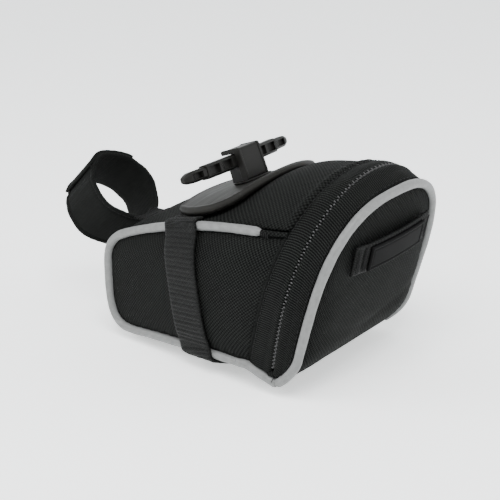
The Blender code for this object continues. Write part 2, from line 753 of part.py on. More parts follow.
def ring_axes():
    axis = np.array([0, math.cos(RING_TILT), -math.sin(RING_TILT)])
    across = np.array([1.0, 0, 0])
    return axis, across, np.cross(axis, across)


def ring_point(angle, radius):
    axis, across, rise = ring_axes()
    rise = rise if rise[2] > 0 else -rise
    return np.array(RING_CENTRE) + radius * (across * math.cos(angle) + rise * math.sin(angle))


def build_seatpost_strap():
    count = 30
    axis = ring_axes()[0]
    root = ring_point(-math.pi / 2, RING_R) - axis * RING_HALF_WIDTH

    def out(angles):
        return lambda k: unit(ring_point(angles[k], 1.0) - np.array(RING_CENTRE))
    angles = [2 * math.pi * k / count for k in range(count)]
    sweep("seatpost_strap", [ring_point(a, RING_R) for a in angles], flat(RING_HALF_WIDTH, RING_THICK),
          "webbing", closed=True, up=out(angles), origin=tuple(root))
    tail = [math.radians(40 + 85 * k / 9) for k in range(10)]
    outer = RING_R + RING_THICK + GAP
    sweep("strap_tail", [ring_point(a, outer) for a in tail], flat(RING_HALF_WIDTH, RING_THICK), "webbing",
          up=out(tail), origin=tuple(ring_point(tail[0], outer)))

    def anchor(a, b):
        a, b = 0.31 + 0.38 * a, 0.40 + 0.24 * b
        here = nose_point(a, b)
        normal = unit(np.cross(nose_point(a, b + 0.01) - here, nose_point(a + 0.01, b) - here))
        normal = normal if normal[1] > 0 else -normal
        return here + normal * (WEBBING + 1.5 * GAP)
    grid_object("strap_anchor_tab", anchor, (6, 4), "webbing", WEBBING)


def loop_place(x, lift):
    """A point over the rear panel at the light loop's height, this far outside the panel."""
    start = (0.5 + x / (90 * MM), 0.6)
    here, normal = point_and_normal(rear_point, (0, 2), (x, LOOP_Z), (0, -1, 0), start)
    return here + normal * lift


def build_rear_details():
    """Light loop, its patch and its bar tacks, outside the rear panel."""
    lean = unit(loop_place(0.0, 0.0) - point_and_normal(
        rear_point, (0, 2), (0.0, LOOP_Z - 6 * MM), (0, -1, 0))[0])
    outward = np.array([0, -lean[2], lean[1]])
    path = [loop_place((-28 + 4 * k) * MM, 1.6 * MM + 1.2 * MM * math.sin(math.pi * k / 14))
            for k in range(15)]
    sweep("light_loop", path, flat(6.5 * MM, 1.2 * MM), "webbing", up=lambda k: outward)
    inner = [p + outward * (1.2 * MM + GAP) for p in path[2:-2]]
    sweep("light_loop_patch", inner, flat(5.4 * MM, 1.0 * MM), "patch_rubber", up=lambda k: outward)
    for side, p in (("left", path[1]), ("right", path[-2])):
        axes = np.array([[1, 0, 0], lean, outward])
        box(f"bar_tack_{side}", (1.6 * MM, 10 * MM, 0.7 * MM),
            p + outward * (1.2 * MM + 2.5 * GAP + 0.35 * MM),
            "thread", axes)


def slider_frame():
    """Where the slider rests: its place on the zipper, and its along, across and outward directions."""
    lean = ZIP_ARCH[6]
    rise = unit((0, -lean, 1))
    centre = np.array([0, ZIP_ARCH[5], ZIP_ARCH[3]]) + rise * TRACK_RISE
    turn = math.radians(SLIDER_ANGLE)
    outward = np.array([1.0, 0, 0]) * math.cos(turn) + rise * math.sin(turn)
    across = unit((0, 1, lean))
    return centre, centre + outward * TRACK_R, np.array([np.cross(outward, across), across, outward])


def build_slider():
    """Zipper slider and its pull, riding on the coil. The slider turns about the arch's centre."""
    centre, here, axes = slider_frame()
    body = here + axes[2] * 2.7 * MM
    box("zipper_slider", (8 * MM, 6.5 * MM, 2.4 * MM), body, "metal", axes, origin=tuple(centre),
        bevel_width=0.7 * MM)
    hinge = body + axes[2] * (1.2 * MM + 1.0 * MM) + axes[0] * 3 * MM * PULL_SIDE
    pull = hinge + axes[0] * 9.5 * MM * PULL_SIDE
    box("zipper_pull", (20 * MM, 5.5 * MM, 1.2 * MM), pull, "dark_plastic", axes, origin=tuple(hinge),
        bevel_width=0.4 * MM)


clear_scene()
PARTS = new_collection("saddle_bag")
CUTTERS = new_collection("cutters", helper=True)
build_panels()
build_zipper()
build_piping()
build_lining()
build_mount()
build_load_strap()
build_seatpost_strap()
build_rear_details()
build_slider()
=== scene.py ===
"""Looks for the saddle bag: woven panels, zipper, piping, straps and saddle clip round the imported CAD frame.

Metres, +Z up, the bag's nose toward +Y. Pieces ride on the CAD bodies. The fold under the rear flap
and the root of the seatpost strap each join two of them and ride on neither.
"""

import math

import bmesh
import bpy
import numpy as np
from mathutils import Matrix, Vector


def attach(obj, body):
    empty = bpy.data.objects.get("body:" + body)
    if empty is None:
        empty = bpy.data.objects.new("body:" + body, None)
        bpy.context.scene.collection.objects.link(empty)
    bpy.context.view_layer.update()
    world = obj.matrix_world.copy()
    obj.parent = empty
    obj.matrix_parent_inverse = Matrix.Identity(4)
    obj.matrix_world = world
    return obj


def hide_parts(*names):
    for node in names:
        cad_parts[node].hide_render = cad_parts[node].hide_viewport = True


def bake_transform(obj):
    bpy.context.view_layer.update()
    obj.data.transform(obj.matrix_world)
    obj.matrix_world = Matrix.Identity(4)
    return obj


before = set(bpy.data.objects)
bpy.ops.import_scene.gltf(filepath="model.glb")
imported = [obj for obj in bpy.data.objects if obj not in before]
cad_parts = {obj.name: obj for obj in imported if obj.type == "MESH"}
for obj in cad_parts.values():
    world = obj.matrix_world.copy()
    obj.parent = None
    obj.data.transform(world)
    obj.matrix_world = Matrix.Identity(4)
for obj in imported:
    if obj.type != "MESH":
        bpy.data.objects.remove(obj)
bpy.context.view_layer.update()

MM = 0.001
GAP = 0.3 * MM
FABRIC = 1.5 * MM                   # panel thickness
PIPE_R = 2.0 * MM

# ---------------------------------------------------------------- the bag's outline, as in the CAD

Y_TOP_REAR, Y_NOSE, Y_SEAM_LOW = -46 * MM, 55 * MM, -31 * MM
Z_TOP_REAR, Z_SEAM_LOW = 69.5 * MM, 10 * MM
HALF_WIDTH_REAR, HALF_WIDTH_TAPER = 42.5 * MM, 0.11
BAG_MIDDLE = np.array([0.0, -15 * MM, 40 * MM])
SIDE_BULGE, BELLY, REAR_BULGE = 2.5 * MM, 6.8 * MM, 6.0 * MM
CROWN, CROWN_REAR, CROWN_FRONT = 4.0 * MM, -60 * MM, -6 * MM
REAR_ARCH = (43.5 * MM, 42 * MM, 5.5 * MM, 38 * MM, 84 * MM, -63.0 * MM, 0.297, 2.7)
ZIP_ARCH = (47 * MM, 42 * MM, 8 * MM, 44 * MM, 92 * MM, -53.5 * MM, 0.275, 2.1)
SEAM_ARCH = (45.5 * MM, 41.5 * MM, 10 * MM, 44.5 * MM, 91 * MM, -42.0 * MM, 0.32, 2.3)
LEG_SHARE = 0.4                      # of each half of an arch, the part that is its straight leg
FOOT_SWEEP, FOOT_TOP, FOOT_HIGH = 6 * MM, 20 * MM, 13 * MM
T_TOP = 0.385
RIDGE_REAR, RIDGE_REAR_Y, RIDGE_FALL = 91 * MM, -55 * MM, 0.35
NOSE_POWER = 3.2
NOSE_RUN, NOSE_MIDDLE, NOSE_HALF_HEIGHT, NOSE_FALL = 15 * MM, 29 * MM, 23.5 * MM, 0.40

MOUNT_PITCH = math.radians(20)
PLATE_TOP = (0.0, -2 * MM, 75.6 * MM)
PLATE_HALF = (34 * MM, 23 * MM)
PLATE_FOLLOW, PLATE_THICK, PLATE_LIFT = 0.6, 2.4 * MM, 0.7 * MM
HOOD_WIDTH, HOOD_WALL = 15 * MM, 3 * MM
BAR_LEVEL, BAR_FORWARD, BAR_HALF, BAR_JOINT, BAR_BOW = 9.8 * MM, 0.5 * MM, 37 * MM, 25 * MM, 3.5 * MM
BAR_SECTION, END_SECTION = (5.2 * MM, 6.2 * MM), (4.6 * MM, 5.0 * MM)

WEBBING_HALF, WEBBING = 9 * MM, 1.3 * MM
STRAP_Y_TOP, STRAP_Y_LOW = 5.5 * MM, -6 * MM
RING_CENTRE = np.array([0.0, 79.4 * MM, 51.5 * MM])
RING_TILT = math.radians(44)
RING_R, RING_HALF_WIDTH, RING_THICK = 17.2 * MM, 12.5 * MM, 1.5 * MM
PIPING_END_Y = -37 * MM
TRACK_R, TRACK_RISE, SLIDER_ANGLE = 47.1 * MM, 2.72 * MM, 2
COIL_LOOPS = 92                      # a side
LOOP_Z = 61.5 * MM
TAIL_START, TAIL_TURN = math.radians(38), math.radians(87)
ROOT_HALF, ROOT_SEWN_Z = 8 * MM, (49.6 * MM, 48.4 * MM)
BINDING_INSET, BINDING_IN = 1.6 * MM, 1.9 * MM
STITCH, STITCH_GAP, STITCH_R = 2.1 * MM, 0.9 * MM, 0.19 * MM
SIDES = (("left", 1), ("right", -1))

CLOTH_COLOUR, TOP_COLOUR = (0.0034, 0.0037, 0.0034), (0.0036, 0.0039, 0.0036)
CLOTH_ROUGH, WEAVE_PITCH = 0.80, 1.75
VIEW_AZIMUTH, VIEW_ELEVATION, VIEW_ROLL = math.radians(-53.7), math.radians(20.33), math.radians(-0.76)


def unit(vector):
    vector = np.array(vector, float)
    return vector / max(np.linalg.norm(vector), 1e-12)


def arch_point(arch, t):
    half, foot, foot_z, spring_z, apex_z, y_spring, lean, power = arch
    side = -1.0 if t < 0 else 1.0
    u = 1.0 - abs(t)
    if u < LEG_SHARE:
        rise = u / LEG_SHARE
        z = foot_z + (spring_z - foot_z) * rise
        x = half - (half - foot) * (1 - rise) ** 1.5
    else:
        angle = (u - LEG_SHARE) / (1 - LEG_SHARE) * math.pi / 2
        x = half * max(math.cos(angle), 0.0) ** (2 / power)
        z = spring_z + (apex_z - spring_z) * math.sin(angle) ** (2 / power)
    y = y_spring - lean * (z - spring_z)
    if arch[5] == REAR_ARCH[5]:
        y += FOOT_SWEEP * max(0.0, (FOOT_TOP - z) / FOOT_HIGH) ** 2
    return np.array([side * x, y, z])


def half_width(y):
    return HALF_WIDTH_REAR - HALF_WIDTH_TAPER * (y - Y_TOP_REAR)


def top_edge(y):
    return Z_TOP_REAR - 1.9 * (y - Y_TOP_REAR) ** 2


def low_edge(y):
    return Z_SEAM_LOW - 0.05 * (y - Y_SEAM_LOW)


def nose_edge(s, inset=0.0):
    angle = math.radians(-90 + 180 * s)
    high = NOSE_HALF_HEIGHT - inset
    y = Y_NOSE - NOSE_RUN + (NOSE_RUN - inset) * max(math.cos(angle), 0.0) ** (2 / NOSE_POWER)
    z = NOSE_MIDDLE + high * math.copysign(abs(math.sin(angle)) ** (2 / NOSE_POWER), math.sin(angle))
    z -= NOSE_FALL * (y - Y_NOSE + NOSE_RUN) * max(math.sin(angle), 0.0)
    return y, z


def seam_leg(s, inset=0.0):
    foot = inset / (75 * MM)
    point = arch_point(SEAM_ARCH, -1.0 + foot + (1.0 - T_TOP - 1.6 * foot) * s)
    return point + np.array([0.0, 0.2 * inset, 0.0])


def side_edge(s, inset, start, edge, corner, power):
    """A point of the side panel's top or bottom edge, easing out of the front arch at its start."""
    y = start[1] + (Y_NOSE - NOSE_RUN - start[1]) * s
    z = edge(y) + (corner - edge(Y_NOSE - NOSE_RUN)) * s ** power + inset
    blend = (1 - s) ** 4
    x = -half_width(y) * (1 - blend) + start[0] * blend
    return np.array([x, y, z * (1 - blend) + start[2] * blend])


def side_low(s, inset=0.0):
    return side_edge(s, inset, seam_leg(0.0, inset), low_edge, nose_edge(0.0)[1], 4)


def side_top(s, inset=0.0):
    return side_edge(s, -inset, seam_leg(1.0, inset), top_edge, nose_edge(1.0)[1], 2)


def side_nose(s, inset=0.0):
    y, z = nose_edge(s, inset)
    return np.array([-half_width(y), y, z])


def mirrored(points, flip=-1):
    """The points on the bag's other side, or where they are if flip is 1."""
    return points * np.array([flip, 1, 1])


def coons(low, high, left, right, a_values, b_values):
    """A grid of points on a Coons patch, indexed [b, a]."""
    lo, hi = np.array([low(a) for a in a_values]), np.array([high(a) for a in a_values])
    le, ri = np.array([left(b) for b in b_values]), np.array([right(b) for b in b_values])
    a, b = np.array(a_values)[None, :, None], np.array(b_values)[:, None, None]
    corners = (
        (1 - a) * (1 - b) * low(0.0) + a * (1 - b) * low(1.0)
        + (1 - a) * b * high(0.0) + a * b * high(1.0)
    )
    return (1 - b) * lo[None] + b * hi[None] + (1 - a) * le[:, None] + a * ri[:, None] - corners


def mesh_of(a_values, b_values):
    return np.meshgrid(np.array(a_values), np.array(b_values))


def side_grid(a_values, b_values, inset=0.0):
    edges = [lambda s, edge=edge: edge(s, inset) for edge in (side_low, side_top, seam_leg, side_nose)]
    points = coons(*edges, a_values, b_values)
    a, b = mesh_of(a_values, b_values)
    points[..., 0] -= SIDE_BULGE * (1 - (2 * a - 1) ** 4) * (1 - (2 * b - 1) ** 4)
    return points


def top_grid(a_values, b_values):
    end = side_top(1.0)

    def rear(s):
        return arch_point(SEAM_ARCH, -T_TOP + 2 * T_TOP * s)

    def nose(s):
        return np.array([end[0] * (1 - 2 * s), end[1], end[2] + 3.0 * MM * (1 - (2 * s - 1) ** 2)])

    edges = (rear, nose, side_top, lambda s: mirrored(side_top(s)))
    points = coons(*edges, a_values, b_values)
    flat = coons(*edges, [0.5], b_values)[:, :, 2]
    a, b = mesh_of(a_values, b_values)
    run = np.clip((points[..., 1] - CROWN_REAR) / (CROWN_FRONT - CROWN_REAR), 0, 1)
    ridge = RIDGE_REAR - RIDGE_FALL * (points[..., 1] - RIDGE_REAR_Y) + CROWN * np.sin(np.pi * run) ** 2
    points[..., 2] += (ridge - flat) * (1 - (2 * a - 1) ** 2) * (1 - (2 * b - 1) ** 8)
    return points


def nose_grid(a_values, b_values):
    a, b = mesh_of(a_values, b_values)
    edge = np.array([side_nose(s) for s in b_values])[:, None, :]
    points = np.repeat(edge, len(a_values), axis=1)
    points[..., 0] *= 1 - 2 * a
    out = 3.0 * MM * (1 - (2 * a - 1) ** 2)
    points[..., 1] += out * np.cos(np.pi * (b - 0.5))
    points[..., 2] += out * np.sin(np.pi * (b - 0.5))
    return points


def bottom_grid(a_values, b_values):
    a, b = mesh_of(a_values, b_values)
    foot = arch_point(REAR_ARCH, -1.0)
    y1 = Y_NOSE - NOSE_RUN
    y = foot[1] + (y1 - foot[1]) * b
    blend = (1 - b) ** 3
    x = half_width(y) * (1 - blend) + abs(foot[0]) * blend
    z = low_edge(y) * (1 - blend) + foot[2] * blend
    z = z + (side_nose(0.0)[2] - low_edge(y1)) * b ** 4
    z = z - BELLY * (1 - (2 * a - 1) ** 4) * (0.1 + 0.9 * np.sin(np.pi * np.clip(b, 0, 1) ** 0.85))
    return np.stack([x * (2 * a - 1), y, z], axis=-1)


def rear_grid(a_values, b_values, inset=0.0):
    corner = 0.45
    arch = (REAR_ARCH[0] - inset, REAR_ARCH[1] - inset, *REAR_ARCH[2:4])
    arch += (REAR_ARCH[4] - inset, *REAR_ARCH[5:])
    narrow = np.array([1 - inset / REAR_ARCH[1], 1, 1])

    def left(s):
        return arch_point(arch, -1.0 + (1.0 - corner) * s)

    points = coons(
        lambda s: bottom_grid([s], [0.0])[0, 0] * narrow,
        lambda s: arch_point(arch, -corner + 2 * corner * s),
        left, lambda s: mirrored(left(s)), a_values, b_values,
    )
    a, b = mesh_of(a_values, b_values)
    swell = (1 - (2 * a - 1) ** 6) * np.sin(np.pi * np.minimum(1.0, np.maximum(b, 0) ** 0.75)) ** 0.8
    return points + swell[..., None] * REAR_BULGE * np.array([0.0, -0.96, 0.10])


def single(grid):
    return lambda a, b: grid([a], [b])[0, 0]


side_point, top_point, rear_point = single(side_grid), single(top_grid), single(rear_grid)
nose_point, bottom_point = single(nose_grid), single(bottom_grid)


def point_and_normal(surface, keys, wanted, outward, start=(0.5, 0.5)):
    """The surface's point with the wanted coordinates at keys, and its unit normal on the outward side."""
    a, b = start
    step = 1e-4
    for _ in range(8):
        here = surface(a, b)
        miss = np.array([wanted[0] - here[keys[0]], wanted[1] - here[keys[1]]])
        if np.abs(miss).max() < 1e-7:
            break
        da = (surface(a + step, b) - here) / step
        db = (surface(a, b + step) - here) / step
        slope = np.array([[da[keys[0]], db[keys[0]]], [da[keys[1]], db[keys[1]]]])
        move = np.linalg.solve(slope, miss)
        a = min(max(a + float(np.clip(move[0], -0.2, 0.2)), 0.001), 0.998)
        b = min(max(b + float(np.clip(move[1], -0.2, 0.2)), 0.001), 0.998)
    here = surface(a, b)
    normal = unit(np.cross(surface(a + 0.001, b) - here, surface(a, b + 0.001) - here))
    return here, normal if np.dot(normal, outward) > 0 else -normal


def outward_of(point, level=40 * MM):
    """The way out at this point from a line along the bag at this level, square to that line."""
    return unit((point - np.array([0, 0, level])) * np.array([1, 0, 1]))


def share(edge, y):
    """The share along a side seam at which it has this Y."""
    low, high = 0.0, 1.0
    for _ in range(30):
        middle = (low + high) / 2
        low, high = (middle, high) if edge(middle)[1] < y else (low, middle)
    return high


# ---------------------------------------------------------------- materials

def set_inputs(node, **values):
    """Sets a shader node's inputs. An underscore stands for a space in an input's name."""
    for name, value in values.items():
        node.inputs[name.replace("_", " ")].default_value = value


class Look:
    """A material's node graph, built a node at a time."""

    def __init__(self, name, colour, roughness, **sockets):
        self.material = bpy.data.materials.new(name)
        self.material.use_nodes = True
        self.tree = self.material.node_tree
        self.shader = self.tree.nodes["Principled BSDF"]
        self.colour = colour
        set_inputs(self.shader, Base_Color=(*colour, 1.0), Roughness=roughness, **sockets)

    def node(self, kind, *inputs, output=0, **settings):
        made = self.tree.nodes.new("ShaderNode" + kind)
        for key, value in settings.items():
            if key in made.inputs:
                made.inputs[key].default_value = value
            else:
                setattr(made, key, value)
        for k, value in enumerate(inputs):
            if value is None:
                continue
            if isinstance(value, bpy.types.NodeSocket):
                self.tree.links.new(value, made.inputs[k])
            else:
                made.inputs[k].default_value = value
        return made.outputs[output]

    def maths(self, operation, a, b=None):
        return self.node("Math", a, b, operation=operation)

    def cloth_axes(self):
        """Millimetres along and across the cloth, as two sockets."""
        uv = self.node("UVMap", uv_map="cloth")
        axes = self.tree.nodes.new("ShaderNodeSeparateXYZ")
        self.tree.links.new(uv, axes.inputs[0])
        return uv, axes.outputs[0], axes.outputs[1]

    def add(self, a, b):
        return self.maths("ADD", a, b)

    def times(self, a, b):
        return self.maths("MULTIPLY", a, b)

    def wave(self, distance, pitch):
        return self.maths("SINE", self.times(distance, 2 * math.pi / pitch))

    def noise(self, vector, scale, detail, roughness=0.55):
        return self.node("TexNoise", vector, Scale=scale, Detail=detail, Roughness=roughness)

    def ramp(self, value, stops):
        """A colour ramp over the value. Each stop is a place and a grey or a colour."""
        made = self.tree.nodes.new("ShaderNodeValToRGB")
        while len(made.color_ramp.elements) < len(stops):
            made.color_ramp.elements.new(0.5)
        for element, (place, tone) in zip(made.color_ramp.elements, stops):
            element.position = place
            tone = (tone,) * 3 if isinstance(tone, float) else tone
            element.color = (*tone, 1.0)
        self.tree.links.new(value, made.inputs[0])
        return made.outputs[0]

    def paint(self, value, dark, light, places):
        """Base colour from a 0..1 value, between two multiples of the look's own colour."""
        stops = [(place, tuple(min(1.0, c * share) for c in self.colour))
                 for place, share in zip(places, (dark, light))]
        self.tree.links.new(self.ramp(value, stops), self.shader.inputs["Base Color"])

    def gloss(self, value, low, high):
        made = self.node("MapRange", value, 0.0, 1.0, low, high)
        self.tree.links.new(made, self.shader.inputs["Roughness"])

    def relief(self, height, depth, strength, under=None):
        bump = self.tree.nodes.new("ShaderNodeBump")
        set_inputs(bump, Strength=strength, Distance=depth)
        self.tree.links.new(height, bump.inputs["Height"])
        if under is not None:
            self.tree.links.new(under, bump.inputs["Normal"])
        return bump.outputs[0]

    def finish(self, normal):
        self.tree.links.new(normal, self.shader.inputs["Normal"])
        return self.material


def woven(name, colour, pitch, depth, ribs=None):
    """Plain-woven pack cloth: a basket of warp and weft, fuzzy fibres, faint rubbed patches, and painted
    highlights on the yarn crossings.
    """
    look = Look(name, colour, CLOTH_ROUGH, Specular_IOR_Level=0.06)
    uv, along, across = look.cloth_axes()
    basket = look.times(look.wave(along, pitch), look.wave(across, pitch))
    if ribs:
        slanted = look.add(along, look.times(across, 0.12))
        basket = look.add(look.times(basket, 0.5), look.wave(slanted, ribs))
    fibre = look.noise(uv, 2.6, 4.0)
    height = look.add(basket, look.times(fibre, 0.9))
    cloud = look.noise(uv, 0.045, 4.0, 0.6)
    # The basket and rib pattern is painted into the colour too: its light yarn crossings are painted
    # highlights. The cloud is rubbed patches.
    tone = look.add(look.times(basket, 0.42), look.times(cloud, 0.45))
    tone = look.add(tone, look.times(fibre, 0.25))
    look.paint(tone, 0.2, 5.2, (0.1, 1.0))
    look.gloss(cloud, CLOTH_ROUGH - 0.12, CLOTH_ROUGH + 0.14)
    soft = look.relief(cloud, 0.6 * MM, 0.25)
    return look.finish(look.relief(height, depth * MM, 0.8, soft))


def reflective(name, colour):
    """Satin reflective tape round the piping cord, faintly creased, its colour a little darker in the creases'
    hollows and lighter on their ridges.
    """
    look = Look(name, colour, 0.5, Specular_IOR_Level=0.25)
    uv = look.cloth_axes()[0]
    glass = look.noise(uv, 7.0, 2.0)
    crease = look.noise(uv, 0.35, 4.0, 0.6)
    look.paint(crease, 0.82, 1.14, (0.3, 0.7))
    look.gloss(crease, 0.36, 0.52)
    soft = look.relief(crease, 0.25 * MM, 0.35)
    return look.finish(look.relief(glass, 0.03 * MM, 0.5, soft))


def webbing_look(name, colour, ribs):
    """Strap webbing: cross ribs with a finer herringbone between them, lighter on the ribs: painted highlight
    on the raised weave and painted shade in its grooves.
    """
    look = Look(name, colour, 0.7, Specular_IOR_Level=0.12)
    uv, along, across = look.cloth_axes()
    bent = look.times(look.maths("PINGPONG", across, 1.1), 0.9)
    bone = look.wave(look.add(along, bent), 1.05)
    cross = look.wave(along, ribs)
    yarn = look.wave(across, 0.8)
    height = look.add(look.times(cross, 0.5), look.times(bone, 0.45))
    height = look.add(height, look.times(yarn, 0.3))
    fibre = look.noise(uv, 2.2, 4.0)
    height = look.add(height, look.times(fibre, 0.5))
    # Colour follows the relief: painted highlight on the raised ribs and yarns, painted shade in the grooves.
    tone = look.add(look.times(height, 0.3), 0.45)
    look.paint(tone, 0.3, 2.6, (0.2, 1.0))
    look.gloss(fibre, 0.5, 0.75)
    return look.finish(look.relief(height, 0.3 * MM, 0.9))


def moulded(name, colour, roughness, streaks=0.0, scuff=0.2, **sockets):
    """Injection-moulded plastic with a fine grain, and where they are asked for, lighter and darker streaks:
    partly a streaky surface, partly painted highlight streaks.
    """
    look = Look(name, colour, roughness, **sockets)
    place = look.node("TexCoord", output=3)
    grain = look.noise(place, 1800.0, 3.0)
    wear = look.noise(place, 95.0, 5.0, 0.65)
    tone = wear
    normal = look.relief(grain, 0.05 * MM, 0.35)
    if streaks:
        streak_place = look.node("Mapping", place)
        set_inputs(streak_place.node, Scale=(30.0, 210.0, 60.0), Rotation=(0.0, 0.0, 0.35))
        streak_and_sheen = look.noise(streak_place, 1.6, 5.0, 0.6)
        tone = look.add(look.times(streak_and_sheen, streaks), look.times(wear, 1.0 - streaks))
        normal = look.relief(streak_and_sheen, 0.25 * MM, 0.35, normal)
    # The streaks are painted into the colour as lighter bands: partly the plastic's streaky surface, partly
    # painted highlight streaks. The wear noise is the plastic's own uneven tone.
    look.paint(tone, 0.72, 1.35, (0.3, 0.72))
    look.gloss(tone, roughness - scuff / 2, roughness + scuff / 2)
    return look.finish(normal)


def thread_look(name, colour):
    look = Look(name, colour, 0.65, Specular_IOR_Level=0.12)
    place = look.node("TexCoord", output=3)
    twist = look.noise(place, 2500.0, 2.0)
    look.paint(twist, 0.6, 1.4, (0.3, 0.7))
    return look.finish(look.relief(twist, 0.06 * MM, 0.5))


LOOKS = {
    "side_fabric": woven("SideFabric", CLOTH_COLOUR, WEAVE_PITCH, 0.2),
    "top_fabric": woven("TopFabric", TOP_COLOUR, WEAVE_PITCH, 0.2),
    "rear_fabric": woven("RearFabric", CLOTH_COLOUR, WEAVE_PITCH, 0.22),
    "zip_tape": woven("ZipTape", (0.0030, 0.0033, 0.0030), 1.3, 0.14, ribs=1.1),
    "zip_coil": moulded("ZipCoil", (0.040, 0.040, 0.040), 0.45, Specular_IOR_Level=0.3),
    "piping": reflective("Piping", (0.150, 0.153, 0.150)),
    "webbing": webbing_look("Webbing", TOP_COLOUR, 2.1),
    "strap_fabric": woven("StrapFabric", CLOTH_COLOUR, 0.85, 0.16),
    # The clip and plate plastics carry lighter streaks in their colour, partly painted highlight streaks.
    "clip_plastic": moulded("ClipPlastic", (0.0075, 0.0074, 0.0066), 0.48, streaks=0.7,
                            Specular_IOR_Level=0.12),
    "plate_plastic": moulded("PlatePlastic", (0.0095, 0.0093, 0.0080), 0.55, streaks=0.85, scuff=0.4,
                             Specular_IOR_Level=0.12),
    "dark_plastic": moulded("DarkPlastic", (0.0055, 0.0055, 0.0052), 0.45, Specular_IOR_Level=0.18),
    "metal": moulded("Metal", (0.10, 0.10, 0.105), 0.3, Metallic=1.0),
    "patch_rubber": moulded("PatchRubber", (0.0030, 0.0030, 0.0030), 0.65, Specular_IOR_Level=0.04),
    "thread": thread_look("Thread", (0.008, 0.008, 0.008)),
    "stiffener": moulded("Stiffener", (0.060, 0.060, 0.062), 0.6),
}


# ---------------------------------------------------------------- mesh helpers

def add_mesh(name, points, faces, look, body, node=None, uv=None, slot=None):
    """A detailed piece that rides on a body, in place of the CAD node of that name if there is one."""
    mesh = bpy.data.meshes.new(name)
    mesh.from_pydata([tuple(p) for p in points], [], [tuple(f) for f in faces])
    mesh.validate()
    if uv is not None:
        layer = mesh.uv_layers.new(name="cloth")
        corner = np.empty(len(mesh.loops), np.int32)
        mesh.loops.foreach_get("vertex_index", corner)
        layer.data.foreach_set("uv", np.asarray(uv, np.float32)[corner].ravel())
    bm = bmesh.new()
    bm.from_mesh(mesh)
    bmesh.ops.recalc_face_normals(bm, faces=bm.faces)
    bm.to_mesh(mesh)
    bm.free()
    mesh.polygons.foreach_set("use_smooth", [True] * len(mesh.polygons))
    mesh.materials.append(LOOKS[look])
    obj = bpy.data.objects.new(name, mesh)
    bpy.context.scene.collection.objects.link(obj)
    if body:
        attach(obj, body)
    if node:
        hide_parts(node)
    slot or look
    return obj


def normals_of(points):
    """Unit normals of a grid of points, on the side away from the bag's middle."""
    across = np.gradient(points, axis=1)
    along = np.gradient(points, axis=0)
    normals = np.cross(across, along)
    normals /= np.maximum(np.linalg.norm(normals, axis=-1, keepdims=True), 1e-12)
    if (normals * (points - BAG_MIDDLE)).sum() < 0:
        normals = -normals
    return normals


def lengths(points, axis):
    """Distance along the grid's rows (axis 1) or columns (axis 0), in metres."""
    step = np.linalg.norm(np.diff(points, axis=axis), axis=-1)
    zero = np.zeros_like(np.take(step, [0], axis=axis))
    return np.cumsum(np.concatenate([zero, step], axis=axis), axis=axis)


def run_of(path):
    """The distance along a path to each of its points."""
    return np.concatenate([[0], np.cumsum(np.linalg.norm(np.diff(path, axis=0), axis=1))])


def squared(points):
    """Arc length down the middle row, plus how far each point lies ahead of its middle point."""
    middle = points[len(points) // 2]
    run = run_of(middle)
    ahead = np.gradient(middle, axis=0)
    ahead /= np.linalg.norm(ahead, axis=1, keepdims=True)
    return run + ((points - middle) * ahead).sum(-1)


def cloth(name, points, look, body, node=None, thick=FABRIC, roll=1.6 * MM, drop=0.7 * MM,
          relief=None, normals=None, slot=None, edges=(1, 1, 1, 1), square=False):
    """A sheet of cloth on a grid of points, with rolled edges, its thickness going inward.

    relief(u, v, edge) gives its height over the grid, from distances in metres along, across and from
    the edge. edges says which of its left, right, low and high edges roll under. square keeps a strap's
    ribs square to its edges where its grid is skewed."""
    normals = normals_of(points) if normals is None else normals
    u, v = lengths(points, 1), lengths(points, 0)
    wide, high = u[:, -1:], v[-1:, :]
    far = np.full(u.shape, 1.0)
    distances = [np.where(on, d, far) for on, d in zip(edges, (u, wide - u, v, high - v))]
    edge = np.minimum.reduce(distances)
    height = -drop * (1 - np.clip(edge / roll, 0, 1)) ** 2
    along = squared(points) if square else u - wide / 2
    if relief is not None:
        height = height + relief(along, v, edge)
    outer = points + normals * height[..., None]
    inner = outer - normals * thick
    rows, columns = u.shape
    count = rows * columns
    index = np.arange(count).reshape(rows, columns)
    quads = np.stack([index[:-1, :-1], index[:-1, 1:], index[1:, 1:], index[1:, :-1]], -1).reshape(-1, 4)
    loop = np.concatenate([index[0, :-1], index[:-1, -1], index[-1, :0:-1], index[:0:-1, 0]])
    onward = np.roll(loop, -1)
    rim = np.stack([onward, loop, loop + count, onward + count], -1)
    faces = np.concatenate([quads, quads[:, ::-1] + count, rim])
    flat = np.stack([along, v], -1).reshape(-1, 2) * 1000
    return add_mesh(name, np.concatenate([outer.reshape(-1, 3), inner.reshape(-1, 3)]), faces, look,
                    body, node, np.concatenate([flat, flat]), slot=slot)


def catmull_rom(points, count):
    """Points, or rows of them, redrawn as this many along a smooth curve through them."""
    t = np.linspace(0, len(points) - 1, count)
    k = np.minimum(t.astype(int), len(points) - 2)
    f = (t - k).reshape(-1, *[1] * (points.ndim - 1))
    ends = np.concatenate([[2 * points[0] - points[1]], points, [2 * points[-1] - points[-2]]])
    p0, p1, p2, p3 = ends[k], ends[k + 1], ends[k + 2], ends[k + 3]
    return 0.5 * (2 * p1 + (p2 - p0) * f + (2 * p0 - 5 * p1 + 4 * p2 - p3) * f ** 2
                  + (3 * p1 - p0 - 3 * p2 + p3) * f ** 3)


def finer(points, rows, columns):
    """A grid redrawn with more points, by smooth curves through its rows and then its columns."""
    return catmull_rom(catmull_rom(points, rows).transpose(1, 0, 2), columns).transpose(1, 0, 2)


def along_path(want, run, values):
    """A path's points or normals at these distances along it."""
    return np.stack([np.interp(want, run, values[:, axis]) for axis in range(3)], -1)


def spline(points, count):
    """A smooth path through these points, as this many evenly spaced ones."""
    points = np.array(points, float)
    fine = catmull_rom(points, 8 * len(points))
    run = run_of(fine)
    return along_path(np.linspace(0, run[-1], count), run, fine)


